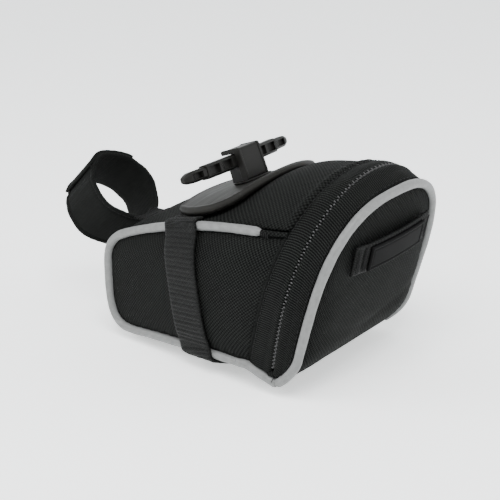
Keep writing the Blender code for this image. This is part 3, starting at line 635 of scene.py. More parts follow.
def tube_points(path, radius, sides, up):
    """Rings of points round a path, with each ring's place along and round it in millimetres."""
    path = np.array(path, float)
    along = np.gradient(path, axis=0)
    along /= np.maximum(np.linalg.norm(along, axis=1, keepdims=True), 1e-12)
    sideways = np.cross(along, np.array(up, float))
    sideways /= np.maximum(np.linalg.norm(sideways, axis=1, keepdims=True), 1e-9)
    upward = np.cross(sideways, along)
    turn = np.linspace(0, 2 * np.pi, sides, endpoint=False)
    radius = np.broadcast_to(np.asarray(radius, float), (len(path),))[:, None, None]
    ring = sideways[:, None] * np.cos(turn)[None, :, None] + upward[:, None] * np.sin(turn)[None, :, None]
    uv = np.stack(np.broadcast_arrays(run_of(path)[:, None], turn[None] * radius[..., 0].mean()), -1)
    return path[:, None] + ring * radius, uv.reshape(-1, 2) * 1000


def tube_faces(rings, sides, shift=0):
    index = np.arange(rings * sides).reshape(rings, sides) + shift
    onward = np.roll(index, -1, axis=1)
    quads = np.stack([index[:-1], onward[:-1], onward[1:], index[1:]], -1).reshape(-1, 4)
    return [tuple(q) for q in quads] + [tuple(index[0][::-1]), tuple(index[-1])]


def tube(name, path, radius, look, body, node=None, *, sides, up=(0, 0, 1)):
    points, uv = tube_points(path, radius, sides, up)
    return add_mesh(name, points.reshape(-1, 3), tube_faces(len(path), sides), look, body, node, uv)


def many_tubes(name, paths, radius, look, body, node=None, sides=6, slot=None):
    """Several short tubes, such as a row of stitches, as one piece."""
    points, faces, uvs = [], [], []
    for path in paths:
        path = np.array(path, float)
        shift = len(points)
        direction = unit(path[-1] - path[0])
        up = (0, 0, 1) if abs(direction[2]) < 0.9 else (0, 1, 0)
        taper = radius * np.sqrt(np.clip(1 - np.linspace(-1, 1, len(path)) ** 6, 0.12, 1))
        ring, uv = tube_points(path, taper, sides, up)
        points.extend(ring.reshape(-1, 3))
        uvs.extend(uv)
        faces += tube_faces(len(path), sides, shift)
    return add_mesh(name, points, faces, look, body, node, uvs, slot=slot)


def stitches(name, path, normals, body, length=STITCH, gap=STITCH_GAP, radius=STITCH_R):
    """A row of lockstitches along a path, each one dipping into the cloth at its ends."""
    path, normals = np.array(path, float), np.array(normals, float)
    run = run_of(path)
    arc = (1 - np.linspace(-1, 1, 5) ** 2)[:, None] * radius * 1.2
    paths = []
    start = gap
    while start + length < run[-1]:
        want = np.linspace(start, start + length, 5)
        out = along_path(want, run, normals)
        paths.append(along_path(want, run, path) + out * (arc - 0.3 * radius))
        start += length + gap
    return many_tubes(name, paths, radius, "thread", body)


def joined_stitches(name, rows, body, **settings):
    """Rows of stitches as one piece. Each row is a path and its normals."""
    pieces = [stitches(f"{name}_{k}", path, normals, body, **settings)
              for k, (path, normals) in enumerate(rows)]
    for piece in pieces[1:]:
        bm = bmesh.new()
        bm.from_mesh(pieces[0].data)
        bm.from_mesh(piece.data)
        bm.to_mesh(pieces[0].data)
        bm.free()
        bpy.data.objects.remove(piece, do_unlink=True)
    pieces[0].name = name
    return pieces[0]


def waves(u, v, seed, size):
    """Soft uneven undulation of a stretched cloth, from -1 to 1."""
    rng = np.random.default_rng(seed)
    total = np.zeros_like(u)
    for _ in range(6):
        angle, phase = rng.uniform(0, math.pi), rng.uniform(0, 2 * math.pi)
        pitch = size * rng.uniform(0.7, 1.9)
        total += np.sin(2 * math.pi * (u * math.cos(angle) + v * math.sin(angle)) / pitch + phase)
    return total / 4


def puckers(u, v, edge, seed, reach=5 * MM, depth=0.28 * MM):
    """The little gathers that a sewn edge draws into the cloth beside it."""
    phase = np.random.default_rng(seed).uniform(0, 6.28)
    drift = 1.3 * np.sin(2 * math.pi * (u - v) / (31 * MM))
    gather = np.sin(2 * math.pi * (u + v) / (5.5 * MM) + phase + drift)
    return depth * gather * np.exp(-edge / reach)


# ---------------------------------------------------------------- panels

def spread(count, low=0.0, high=1.0):
    return np.linspace(low, high, count)


def build_panels():
    inset = PIPE_R - 0.15 * MM

    def side_relief(u, v, edge):
        return (0.34 * MM * waves(u, v, 3, 26 * MM) * np.clip(edge / (9 * MM), 0, 1)
                + puckers(u, v, edge, 4) - 0.1 * MM)
    grid = side_grid(spread(150), spread(104), inset)
    cloth("side_panel_left_cloth", grid, "side_fabric", "bag", "side_panel_left", relief=side_relief)
    cloth("side_panel_right_cloth", mirrored(grid), "side_fabric", "bag", "side_panel_right",
          relief=lambda u, v, edge: side_relief(u + 0.031, v, edge))

    def top_relief(u, v, edge):
        return (0.26 * MM * waves(u, v, 8, 30 * MM) * np.clip(edge / (8 * MM), 0, 1)
                + puckers(u, v, edge, 9, 4 * MM, 0.2 * MM) - 0.1 * MM)

    def crown_relief(u, v, edge):
        lip = 0.8 * MM * np.exp(-((v - 2.4 * MM) / (1.5 * MM)) ** 2)
        return top_relief(u, v, edge) + lip
    cloth("top_panel_cloth", top_grid(spread(150, 0.022, 0.978), spread(150, 0.003, 0.998)), "top_fabric",
          "bag", "top_panel", relief=crown_relief)
    cloth("nose_panel_cloth", nose_grid(spread(90, 0.030, 0.970), spread(90, 0.002, 0.998)), "side_fabric",
          "bag", "nose_panel", slot="top_fabric", relief=top_relief, edges=(1, 1, 0, 0))
    cloth("bottom_panel_cloth", bottom_grid(spread(130, 0.023, 0.977), spread(110, 0.034, 0.998)),
          "side_fabric", "bag", "bottom_panel", slot="top_fabric", edges=(1, 1, 0, 0),
          relief=lambda u, v, edge: np.minimum(0.3 * MM * waves(u, v, 12, 24 * MM), 0)
          * np.clip(edge / (6 * MM), 0, 1))

    def rear_relief(u, v, edge):
        rise = np.clip(v / (60 * MM), 0, 1)
        crease = 0.5 * MM * np.exp(-((v - 20 * MM - 0.25 * np.abs(u)) / (3.5 * MM)) ** 2)
        return (0.36 * MM * waves(u, v, 21, 28 * MM) * np.clip(edge / (8 * MM), 0, 1) * (1 - 0.3 * rise)
                + puckers(u, v, edge, 22) - 0.1 * MM - crease * np.clip(edge / (10 * MM), 0, 1))
    cloth("rear_panel_cloth", rear_grid(spread(140), spread(140, 0.030, 1.0), inset), "rear_fabric",
          "rear_flap", "rear_panel", relief=rear_relief, edges=(1, 1, 0, 1))


def build_fold():
    """The cloth that joins the bottom panel to the rear flap, built where the closed flap stands and riding on
    neither body.
    """
    a_values = spread(110, 0.026, 0.974)
    low = bottom_grid(a_values, np.linspace(0.034, 0.004, 9))
    high = rear_grid(a_values, np.linspace(0.003, 0.030, 9), 0.0)
    grid = np.concatenate([low, high])
    smooth = grid.copy()
    for _ in range(6):
        smooth[1:-1] = (smooth[:-2] + 2 * smooth[1:-1] + smooth[2:]) / 4
    fold = cloth("flap_fold", smooth, "rear_fabric", None, thick=1.2 * MM, edges=(1, 1, 0, 0))
    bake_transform(fold)


# ---------------------------------------------------------------- zipper

def between(low_arch, high_arch, t_values, low_margin, high_margin, count):
    """A grid of the strip between two arches, this far clear of each of them."""
    bow = 0.8 * MM
    rows = []
    for k in range(count):
        row = []
        for t in t_values:
            low, high = arch_point(low_arch, t), arch_point(high_arch, t)
            width = np.linalg.norm(high - low)
            b = low_margin / width + (1 - (low_margin + high_margin) / width) * k / (count - 1)
            out = outward_of((low + high) / 2)
            row.append(low + (high - low) * b + out * bow * 4 * b * (1 - b))
        rows.append(row)
    return np.array(rows)


def build_zipper():
    """Two tapes that nearly meet over the coil, the coil's loops in the slit, and the seams of the tapes."""
    slit = 0.32 * MM

    def tape_relief(side):
        def relief(u, v, edge):
            wide = v.max()
            from_slit = wide - v if side == "front" else v
            over_coil = 0.55 * MM * np.exp(-((from_slit - 1.9 * MM) / (1.3 * MM)) ** 2)
            stitch_line = -0.18 * MM * np.exp(-((from_slit - 4.6 * MM) / (0.35 * MM)) ** 2)
            ripple = 0.16 * MM * waves(u, v, 31, 13 * MM) * np.clip((from_slit - 3 * MM) / (3 * MM), 0, 1)
            return over_coil + stitch_line + ripple
        return relief
    # Each tape's body, its row of stitches, its low and high arch, where its foot is, and its margins.
    tapes = {"front": ("bag", 3, SEAM_ARCH, ZIP_ARCH, 0.98, GAP * 0.5, slit),
             "rear": ("rear_flap", -4, ZIP_ARCH, REAR_ARCH, 0.972, slit, PIPE_R - 0.1 * MM)}
    for side, (body, row, low_arch, high_arch, foot, *margins) in tapes.items():
        grid = between(low_arch, high_arch, spread(360, -foot, foot), *margins, 30)
        cloth(f"zipper_tape_{side}_cloth", grid, "zip_tape", body, f"zipper_tape_{side}", thick=1.0 * MM,
              roll=0.9 * MM, drop=0.45 * MM, relief=tape_relief(side))
        normals = normals_of(grid)[row][4:-4]
        joined_stitches(f"tape_stitching_{side}", [(grid[row][4:-4] + normals * 0.12 * MM, normals)], body)
        build_coil(side, body)


def build_coil(side, body):
    """One half of the coil: a loop for every tooth, seen as a dot in the slit between the tapes."""
    shift = 1 if side == "front" else -1
    turn = np.linspace(-0.9 * math.pi / 2, 0.9 * math.pi / 2, 7)
    loops = []
    for k in range(COIL_LOOPS):
        t = -0.95 + 1.90 * (k + (0.25 if shift > 0 else 0.75)) / COIL_LOOPS
        here = arch_point(ZIP_ARCH, t)
        along = unit(arch_point(ZIP_ARCH, t + 0.002) - here)
        across = unit((0, 1, ZIP_ARCH[6])) * shift
        out = unit(np.cross(along, across))
        out = out if np.dot(out, outward_of(here)) > 0 else -out
        loops.append([here + across * (1.25 - 1.38 * math.cos(w)) * MM
                      + (out * (0.55 * math.sin(w) - 0.5) + along * 0.12 * math.sin(w)) * MM for w in turn])
    many_tubes(f"zipper_coil_{side}_loops", loops, 0.36 * MM, "zip_coil", body, f"zipper_coil_{side}")


def slider_frame():
    lean = ZIP_ARCH[6]
    rise = unit((0, -lean, 1))
    centre = np.array([0, ZIP_ARCH[5], ZIP_ARCH[3]]) + rise * TRACK_RISE
    turn = math.radians(SLIDER_ANGLE)
    outward = np.array([1.0, 0, 0]) * math.cos(turn) + rise * math.sin(turn)
    across = unit((0, 1, lean))
    return centre + outward * TRACK_R, np.array([np.cross(outward, across), across, outward])


def slab(outline, low, high, place):
    """Points and faces of a flat plate: an outline in two axes, from low to high in the third."""
    count = len(outline)
    points = [place(x, y, z) for z in (low, high) for x, y in outline]
    faces = [tuple(range(count))[::-1], tuple(range(count, 2 * count))]
    faces += [(k, (k + 1) % count, count + (k + 1) % count, count + k) for k in range(count)]
    return points, faces


def bevelled(obj, width, segments=3, angle=30):
    modifier = obj.modifiers.new("Bevel", "BEVEL")
    modifier.width = width
    modifier.segments = segments
    modifier.limit_method = "ANGLE"
    modifier.angle_limit = math.radians(angle)
    modifier.harden_normals = True
    obj.data.polygons.foreach_set("use_smooth", [True] * len(obj.data.polygons))
    return obj


def oval(half_x, half_y, power, count=40, taper=0.0):
    """A squarish oval outline. taper narrows it towards +x."""
    found = []
    for k in range(count):
        angle = 2 * math.pi * k / count
        c, s = math.cos(angle), math.sin(angle)
        x = half_x * math.copysign(abs(c) ** (2 / power), c)
        y = half_y * math.copysign(abs(s) ** (2 / power), s)
        found.append((x, y * (1 - taper * x / half_x)))
    return found


def build_slider():
    """Slider body with its bridge, and a cord puller with a ribbed grip."""
    here, axes = slider_frame()
    body = here + axes[2] * 2.7 * MM

    def place(x, y, z):
        return body + axes[0] * x + axes[1] * y + axes[2] * z
    low = slab(oval(3.9 * MM, 3.15 * MM, 3.0, taper=0.14), -1.15 * MM, -0.05 * MM, place)
    bevelled(add_mesh("slider_plate", *low, "metal", "zipper_slider", "zipper_slider"), 0.35 * MM)
    arc = [place((6 * s - 3) * MM, 0, (1.2 * math.sin(math.pi * s) ** 0.6 - 0.15) * MM) for s in spread(15)]
    tube("slider_bridge", arc, 0.42 * MM, "metal", "zipper_slider", up=axes[1], sides=10)
    hinge = body + axes[2] * 2.2 * MM - axes[0] * 3 * MM

    def hung(x, y, z):
        return hinge - axes[0] * x + axes[1] * y + axes[2] * z
    ring = [hung(1.6 * MM + 1.9 * MM * math.cos(w), 1.5 * MM * math.sin(w), 0.0)
            for w in np.linspace(0.35, 2 * math.pi - 0.35, 26)]
    tube("pull_wire", ring[3:], 0.36 * MM, "metal", "zipper_pull", up=axes[2], sides=10)
    grip = slab(oval(7.4 * MM, 2.6 * MM, 3.4, 48, 0.12), -0.55 * MM, 0.55 * MM,
                lambda x, y, z: hung(11.6 * MM + x, y, z))
    bevelled(add_mesh("pull_grip", *grip, "dark_plastic", "zipper_pull", "zipper_pull"), 0.3 * MM)
    ribs = [[hung((6.2 + 1.7 * k) * MM, y, 0.62 * MM * side) for y in np.linspace(-1.9, 1.9, 7) * MM]
            for k in range(7) for side in (-1, 1)]
    many_tubes("pull_ribs", ribs, 0.24 * MM, "dark_plastic", "zipper_pull")


# ---------------------------------------------------------------- inner bindings

def binding(name, paths, radius, body, sides):
    many_tubes(name, paths, radius, "strap_fabric", body, sides=sides, slot="webbing")


def build_bindings():
    """Binding tape that covers the raw seams inside the bag and inside the flap."""
    inward = np.array([1.7 * MM, 0, 0])
    runs = [spline([edge(s, BINDING_INSET) + inward for s in spread(count)], 120)
            for edge, count in ((side_low, 40), (side_top, 40), (side_nose, 30))]
    foot = arch_point(REAR_ARCH, -1.0) + np.array([2.6, 3.0, 1.6]) * MM
    corner = [side_low(s, BINDING_INSET) + np.array([BINDING_IN, 0, 0]) for s in spread(8, 0.45, 0.06)]
    corner = spline([*corner, foot], 60)
    leg = spline([seam_leg(s) + np.array([BINDING_IN, 0, 0.6 * MM]) for s in spread(40)], 120)
    for side, flip in SIDES:
        binding(f"seam_binding_{side}", [mirrored(run, flip) for run in runs], 1.35 * MM, "bag", 12)
        binding(f"zipper_binding_{side}", [mirrored(leg, flip), mirrored(corner, flip)], 2.0 * MM, "bag", 14)
    rear = []
    for t in spread(80, -0.975, 0.975):
        here = arch_point(REAR_ARCH, t)
        rear.append(here - outward_of(here, 42 * MM) * BINDING_IN + np.array([0, 1.5, 0.4]) * MM)
    binding("flap_binding", [spline(rear, 300)], 1.5 * MM, "rear_flap", 12)


# ---------------------------------------------------------------- piping

def rounded_end(from_end):
    """How thin a cord gets towards its rounded end."""
    return np.sqrt(np.clip(1 - (1 - np.clip(from_end / PIPE_R, 0, 1)) ** 2, 0.02, 1))


def build_corner_stitches(side, flip, end):
    """Overcast stitches round the piping's lower rear end."""
    stitched = []
    for k in range(9):
        here = end + (side_low(0.10) - end) * (k + 0.5) / 9
        slant = 2 * math.sin(math.radians(18 * math.sin(5 * k)))
        stitch = [here + np.array([-2.06 * math.cos(w), (w - 1.1) * slant, 2.06 * math.sin(w)]) * MM
                  for w in np.linspace(0.35, 1.75, 7)]
        stitched.append(mirrored(np.array(stitch), flip))
    many_tubes(f"corner_stitches_{side}", stitched, 0.2 * MM, "thread", "bag")


def build_piping_end_stitches(side, flip):
    """The stitches that close the piping's end at the top of the zipper."""
    tip = side_top(share(side_top, PIPING_END_Y))
    rows = []
    for k in range(5):
        start = tip + np.array([0.6, -1.2 - 0.9 * k, 1.1 - 0.15 * k]) * MM
        end = tip + np.array([-1.5, -1.6 - 0.9 * k, -1.2 - 0.1 * k]) * MM
        middle = (start + end) / 2 + np.array([-0.7, 0, 0.7]) * MM
        rows.append(mirrored(spline([start, middle, end], 6), flip))
    many_tubes(f"piping_end_stitches_{side}", rows, 0.2 * MM, "thread", "bag")


def build_piping():
    """Reflective piping, slightly uneven in thickness, pinched flat where its top run is sewn off."""
    path = [side_top(s) for s in np.linspace(share(side_top, PIPING_END_Y - 2.5 * MM), 1.0, 40)]
    path += [side_nose(s) for s in np.linspace(0.97, 0.03, 40)]
    path += [side_low(s) for s in np.linspace(1.0, 0.0, 50)]
    foot, low = arch_point(REAR_ARCH, -1.0), side_low(0.0)
    path += [low + (foot - low) * k / 6 for k in range(1, 7)]
    path = spline(path[::3] + path[-1:], 560)
    run = run_of(path)
    radius = PIPE_R * (1 + 0.022 * np.sin(run / (4.3 * MM)) + 0.016 * np.sin(run / (1.7 * MM) + 1))
    radius *= 1 - 0.75 * np.exp(-(run / (2.3 * MM)) ** 2)
    radius *= rounded_end(run[-1] - run)
    tube("piping_left_cord", path, radius, "piping", "bag", "piping_left", up=(1, 0, 0), sides=20)
    tube("piping_right_cord", mirrored(path), radius, "piping", "bag", "piping_right", up=(1, 0, 0), sides=20)
    rear = spline([arch_point(REAR_ARCH, t) for t in np.linspace(-1, 1, 121)], 460)
    run = run_of(rear)
    wobble = 1 + 0.02 * np.sin(run / (4.6 * MM) + 0.4) + 0.014 * np.sin(run / (1.9 * MM))
    wobble *= rounded_end(np.minimum(run, run[-1] - run))
    tube("piping_rear_cord", rear, PIPE_R * wobble, "piping", "rear_flap", "piping_rear", up=(0, 1, 0.29),
         sides=20)
    welt = spline([side_top(s) for s in spread(12, 0.0, share(side_top, PIPING_END_Y + 2 * MM))], 60)
    thin = 1.05 * MM * (1 + 0.05 * np.sin(np.arange(60) / 2.1))
    zip_end = arch_point(ZIP_ARCH, -0.978)
    tab = np.array([zip_end + np.array([0.1, y, -0.27 * y]) * MM for y in np.linspace(-2.4, 2.4, 9)])
    for side, flip in SIDES:
        build_corner_stitches(side, flip, path[-1])
        many_tubes(f"zipper_end_tab_{side}", [mirrored(tab, flip)], 1.15 * MM, "zip_tape", "bag", sides=14)
        tube(f"seam_welt_{side}", mirrored(welt, flip), thin, "side_fabric", "bag", sides=14)
        build_piping_end_stitches(side, flip)


# ---------------------------------------------------------------- saddle clip

def mount_axes():
    c, s = math.cos(MOUNT_PITCH), math.sin(MOUNT_PITCH)
    return np.array([[1, 0, 0], [0, c, -s], [0, s, c]])


def mount_point(x, forward, normal):
    return np.array(PLATE_TOP) + np.array([x, forward, normal]) @ mount_axes()


def plate_surface(u, v):
    x = u * math.sqrt(1 - v * v / 2.6) * PLATE_HALF[0]
    y = PLATE_TOP[1] + v * math.sqrt(1 - u * u / 2.6) * PLATE_HALF[1] * math.cos(MOUNT_PITCH)
    here, normal = point_and_normal(top_point, (0, 1), (x, y), (0, 0, 1))
    ridge = point_and_normal(top_point, (0, 1), (0.0, y), (0, 0, 1))[0]
    here[2] = ridge[2] - PLATE_FOLLOW * (ridge[2] - here[2])
    return here + normal * (PLATE_LIFT + PLATE_THICK)


def build_base_plate():
    grid = np.array([[plate_surface(u, v) for u in np.linspace(-1, 1, 13)] for v in np.linspace(-1, 1, 9)])

    def relief(u, v, edge):
        lip = 0.35 * MM * np.exp(-((edge - 2.2 * MM) / (0.9 * MM)) ** 2)
        return lip - 0.25 * MM
    cloth("mount_base_plate_moulding", finer(grid, 84, 112), "plate_plastic", "bag", "mount_base_plate",
          thick=2.0 * MM, roll=1.7 * MM, drop=1.1 * MM, relief=relief, slot="clip_plastic")


def rounded(corners, radius):
    """A closed outline with its corners rounded off."""
    found = []
    for k in range(len(corners)):
        here = np.array(corners[k], float)
        before, after = np.array(corners[k - 1], float), np.array(corners[(k + 1) % len(corners)], float)
        reach = min(radius, np.linalg.norm(before - here) * 0.45, np.linalg.norm(after - here) * 0.45)
        start, end = here + unit(before - here) * reach, here + unit(after - here) * reach
        for t in np.linspace(0, 1, 7):
            found.append(tuple(start * (1 - t) ** 2 + here * 2 * t * (1 - t) + end * t * t))
    return found


def prism(name, outline, x_low, x_high, node=None, width=0.35 * MM):
    """A clip piece with this outline seen from the side."""
    points, faces = slab(outline, x_low, x_high, lambda f, n, x: mount_point(x, f, n))
    return bevelled(add_mesh(name, points, faces, "clip_plastic", "bag", node), width, 3, 50)


def build_hood():
    """The upright of the clip: a smooth rear face between two raised side frames, under a rounded cap."""
    bar_top = BAR_LEVEL + BAR_SECTION[1] / 2
    rear = BAR_FORWARD - BAR_SECTION[0] / 2 - GAP
    front = BAR_FORWARD + BAR_SECTION[0] / 2 + 2 * MM
    foot = 0.4 * MM

    def outline(back, cap):
        return rounded([(rear - HOOD_WALL - 0.6 * MM + back, foot), (rear - HOOD_WALL + back, cap),
                        (front - back, cap), (front - back, bar_top + GAP), (rear, bar_top + GAP),
                        (rear, foot)], 1.3 * MM)
    half, frame_width = HOOD_WIDTH / 2, 1.5 * MM
    prism("mount_hood_face", outline(0.28 * MM, bar_top + 2.15 * MM), -half + frame_width, half - frame_width,
          "mount_hood", 0.12 * MM)
    for side, sign in (("left", -1), ("right", 1)):
        inner, outer = sorted((sign * (half - frame_width), sign * half))
        prism(f"mount_hood_frame_{side}", outline(0.0, bar_top + 2.4 * MM), inner, outer)
    skirt = slab(oval(9.6 * MM, 5.6 * MM, 3.6, 56), -0.1 * MM, 0.75 * MM,
                 lambda x, y, z: mount_point(x, (rear - HOOD_WALL / 2) + 1.6 * MM + y, z))
    bevelled(add_mesh("mount_foot_pad", *skirt, "clip_plastic", "bag"), 0.5 * MM)


def bar_path(x):
    u = abs(x) / BAR_HALF
    return mount_point(x, BAR_FORWARD + BAR_BOW * u * u, BAR_LEVEL)


def bar_length(name, start, end, section, steps, node, toe=1.0):
    """A length of the T-bar. Towards its end it thins to the share toe of its section."""
    d, h, cut = section[0] / 2, section[1] / 2, 1.0 * MM
    outline = [(cut - d, -h), (d - cut, -h), (d, cut - h), (d, h - cut), (d - cut, h), (cut - d, h),
               (-d, h - cut), (-d, cut - h)]
    axes = mount_axes()
    count = len(outline)
    points, faces = [], []
    for k in range(steps + 1):
        u = k / steps
        scale = 1 - (1 - toe) * max(0.0, (u - 0.6) / 0.4) ** 2
        centre = bar_path(start + (end - start) * u)
        points += [centre + (axes[1] * f + axes[2] * n) * scale for f, n in outline]
    for k in range(steps):
        for i in range(count):
            j = (i + 1) % count
            faces.append((k * count + i, k * count + j, (k + 1) * count + j, (k + 1) * count + i))
    faces += [tuple(range(count))[::-1], tuple(steps * count + i for i in range(count))]
    return add_mesh(name, points, faces, "clip_plastic", "bag", node)


def cut_pocket(bar, x, length, section):
    """Cuts an open pocket into a bar's rear face, for good."""
    axes = mount_axes()
    middle = bar_path(x) - axes[1] * (section[0] / 2)
    half = np.array([length / 2, 1.6 * MM, section[1] / 2 - 1.15 * MM])
    points = [middle + np.array([i, j, k]) * half @ axes
              for k in (-1, 1) for j in (-1, 1) for i in (-1, 1)]
    faces = [(0, 2, 3, 1), (4, 5, 7, 6), (0, 1, 5, 4), (2, 6, 7, 3), (0, 4, 6, 2), (1, 3, 7, 5)]
    mesh = bpy.data.meshes.new("pocket")
    mesh.from_pydata([tuple(p) for p in points], [], faces)
    cutter = bpy.data.objects.new("pocket", mesh)
    bpy.context.scene.collection.objects.link(cutter)
    modifier = bar.modifiers.new("Pocket", "BOOLEAN")
    modifier.operation = "DIFFERENCE"
    modifier.solver = "EXACT"
    modifier.object = cutter
    bpy.context.view_layer.update()
    graph = bpy.context.evaluated_depsgraph_get()
    done = bpy.data.meshes.new_from_object(bar.evaluated_get(graph))
    bar.modifiers.clear()
    bar.data = done
    bpy.data.objects.remove(cutter, do_unlink=True)


def build_t_bar():
    bar = bar_length("t_bar_moulding", -BAR_JOINT + GAP / 2, BAR_JOINT - GAP / 2, BAR_SECTION, 40, "t_bar")
    for sign in (-1, 1):
        for middle in (12.4 * MM, 20.2 * MM):
            cut_pocket(bar, sign * middle, 5.8 * MM, BAR_SECTION)
    bevelled(bar, 0.28 * MM, 2, 38)
    for side, sign in (("left", -1), ("right", 1)):
        clip = bar_length(f"clip_end_{side}_moulding", sign * (BAR_JOINT + GAP / 2), sign * BAR_HALF,
                          END_SECTION, 24, f"clip_end_{side}", 0.5)
        cut_pocket(clip, sign * (BAR_JOINT + 5.0 * MM), 5.6 * MM, END_SECTION)
        bevelled(clip, 0.28 * MM, 2, 38)


# ---------------------------------------------------------------- straps

def strap_girth(y):
    """Half of a line round the bag at this Y, from the top over the piping and down to the belly's middle."""
    lift = 0.6 * MM
    top_seam = side_top(share(side_top, y))
    low_seam = side_low(share(side_low, y))

    def round_piping(seam, angles):
        return [seam + np.array([math.cos(turn), 0, math.sin(turn)]) * (PIPE_R + 0.5 * MM)
                for turn in np.radians(angles)]
    points = []
    for k in range(4):
        here, normal = point_and_normal(top_point, (0, 1), (top_seam[0] + (6 - k) * MM, y), (0, 0, 1),
                                        (0.2, 0.5))
        points.append(here + normal * lift)
    points += round_piping(top_seam, (75, 105, 135, 165))
    for z in np.linspace(top_seam[2] - 3.5 * MM, low_seam[2] + 3.5 * MM, 9):
        here, normal = point_and_normal(side_point, (1, 2), (y, z), (-1, 0, 0))
        points.append(here + normal * lift)
    points += round_piping(low_seam, (190, 215, 240, 262))
    for share_x in (0.86, 0.72, 0.5, 0.25, 0.0):
        here, normal = point_and_normal(bottom_point, (0, 1), (low_seam[0] * share_x, y), (0, 0, -1))
        here = here + normal * lift
        if share_x <= 0.5:
            here[2] = WEBBING
        points.append(here)
    return points


def build_load_strap():
    """Ribbed webbing from under the clip, over the top piping, down the side and under the belly."""
    rails = []
    for across in np.linspace(-WEBBING_HALF, WEBBING_HALF, 4):
        top, low = strap_girth(STRAP_Y_TOP + across), strap_girth(STRAP_Y_LOW + across)
        count = len(top)
        mix = [min(1.0, max(0.0, (i - 6) / (count - 11))) for i in range(count)]
        half = [t * (1 - m) + b * m for t, b, m in zip(top, low, mix)]
        rails.append(spline(half + [mirrored(p) for p in half[-2::-1]], 900))
    grid = finer(np.array(rails), 15, 900)
    normals = normals_of(grid)

    def relief(u, v, edge):
        rib = np.sin(2 * math.pi * u / (2.1 * MM)) + 0.5 * np.sin(2 * math.pi * u / (4.2 * MM))
        return 0.13 * MM * (rib - 1.5) * np.clip(edge / (1.2 * MM), 0.25, 1)
    cloth("load_strap_webbing", grid + normals * WEBBING, "webbing", "bag", "load_strap",
          thick=WEBBING - 0.25 * MM, roll=0.8 * MM, drop=0.35 * MM, relief=relief, normals=normals,
          square=True)


RING_AXIS = np.array([0, math.cos(RING_TILT), -math.sin(RING_TILT)])
RING_RISE = np.array([0, math.sin(RING_TILT), math.cos(RING_TILT)])


def ring_out(angle):
    """The way out from the ring's axis at this angle."""
    return np.array([math.cos(angle), 0, 0]) + RING_RISE * math.sin(angle)


def limp(angle, width):
    """How far the soft strap stands off a true circle: slack facets, a skew across it and fine wrinkles."""
    lean = width / RING_HALF_WIDTH
    slack = 0.34 * math.sin(4 * angle + 0.8) + 0.30 * math.sin(2 * angle + 1.1) * lean
    fold = 0.16 * math.sin(13 * angle + 1.6 * lean) * (0.5 + 0.5 * math.sin(3 * angle + 0.4))
    fine = 0.07 * math.sin(31 * angle - 2.2 * lean) * (0.5 + 0.5 * math.sin(5 * angle + 2.0))
    return (slack + fold + fine - 0.2) * MM


def band(name, start, turn, radius, body, node, closed, ends=0.0):
    """A length of the seatpost strap: flat cloth with bound edges, wound round the ring's axis."""
    count = 220 if closed else 90
    angles = start + turn * np.arange(count) / (count if closed else count - 1)
    edge = np.array([0.81, 0.83, 0.845, 0.88, 0.94, 0.985, 1])
    widths = RING_HALF_WIDTH * np.concatenate([-edge[::-1], np.linspace(-0.7, 0.7, 15), edge])
    bound, end = 0.83 * RING_HALF_WIDTH, 0.99 * RING_HALF_WIDTH
    height = np.where(np.abs(widths) > bound, 0.22 * MM, 0.0)
    height -= 0.28 * MM * np.exp(-((np.abs(widths) - bound) / (0.25 * MM)) ** 2)
    height -= 0.5 * MM * (np.abs(widths) > end)
    profile = list(zip(widths, RING_THICK - 0.22 * MM + height))
    profile += [(w, 0.45 * MM if abs(w) > end else 0.0) for w in widths[::-3]]
    rings, uv = [], []
    for k, angle in enumerate(angles):
        out = ring_out(angle)
        facet = 0.22 * MM * math.cos(7 * angle + 0.6) - 0.22 * MM + 0.16 * MM * math.sin(3 * angle)
        swell = ends * max(0.0, (k / (count - 1) - 0.55) / 0.45) ** 2
        centre = RING_CENTRE + out * (radius + facet + swell)
        rings.append([centre + RING_AXIS * w + out * (h + limp(angle, w)) for w, h in profile])
        uv += [(angle * radius * 1000, w * 1000) for w, _ in profile]
    sides = len(profile)
    faces = tube_faces(count, sides)
    if closed:
        last = (count - 1) * sides
        joint = [(last + k, last + (k + 1) % sides, (k + 1) % sides, k) for k in range(sides)]
        faces = faces[:-2] + joint
    return add_mesh(name, np.array(rings).reshape(-1, 3), faces, "strap_fabric", body, node, uv,
                    slot="webbing")


def ring_row(width):
    """A path round the outside of the ring at this place across it, with its normals."""
    path, normals = [], []
    for angle in np.linspace(0, 2 * math.pi, 200):
        out = ring_out(angle)
        stand = RING_R + RING_THICK - 0.1 * MM + limp(angle, width)
        path.append(RING_CENTRE + out * stand + RING_AXIS * width)
        normals.append(out)
    return path, normals


def build_strap_root():
    """The sewn root that runs from the nose to the inside of the seatpost loop, riding on neither body."""
    lines = []
    for x in np.linspace(-ROOT_HALF, ROOT_HALF, 25):
        out = ring_out(math.asin(x / RING_R) - math.pi / 2)
        sewn = []
        for z in ROOT_SEWN_Z:
            here, normal = point_and_normal(nose_point, (0, 2), (x, z), (0, 1, 0))
            sewn.append(here + normal * 0.9 * MM)
        held = [RING_CENTRE + out * (RING_R - 0.75 * MM) + RING_AXIS * w * MM for w in (-11.0, -6.5)]
        lines.append(spline([*sewn, *held], 30))
    grid = np.array(lines)
    normals = normals_of(grid)
    if normals[..., 2].mean() < 0:
        normals = -normals
    root = cloth("strap_root", grid, "webbing", None, thick=0.9 * MM, roll=0.6 * MM, drop=0.3 * MM,
                 normals=normals)
    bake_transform(root)


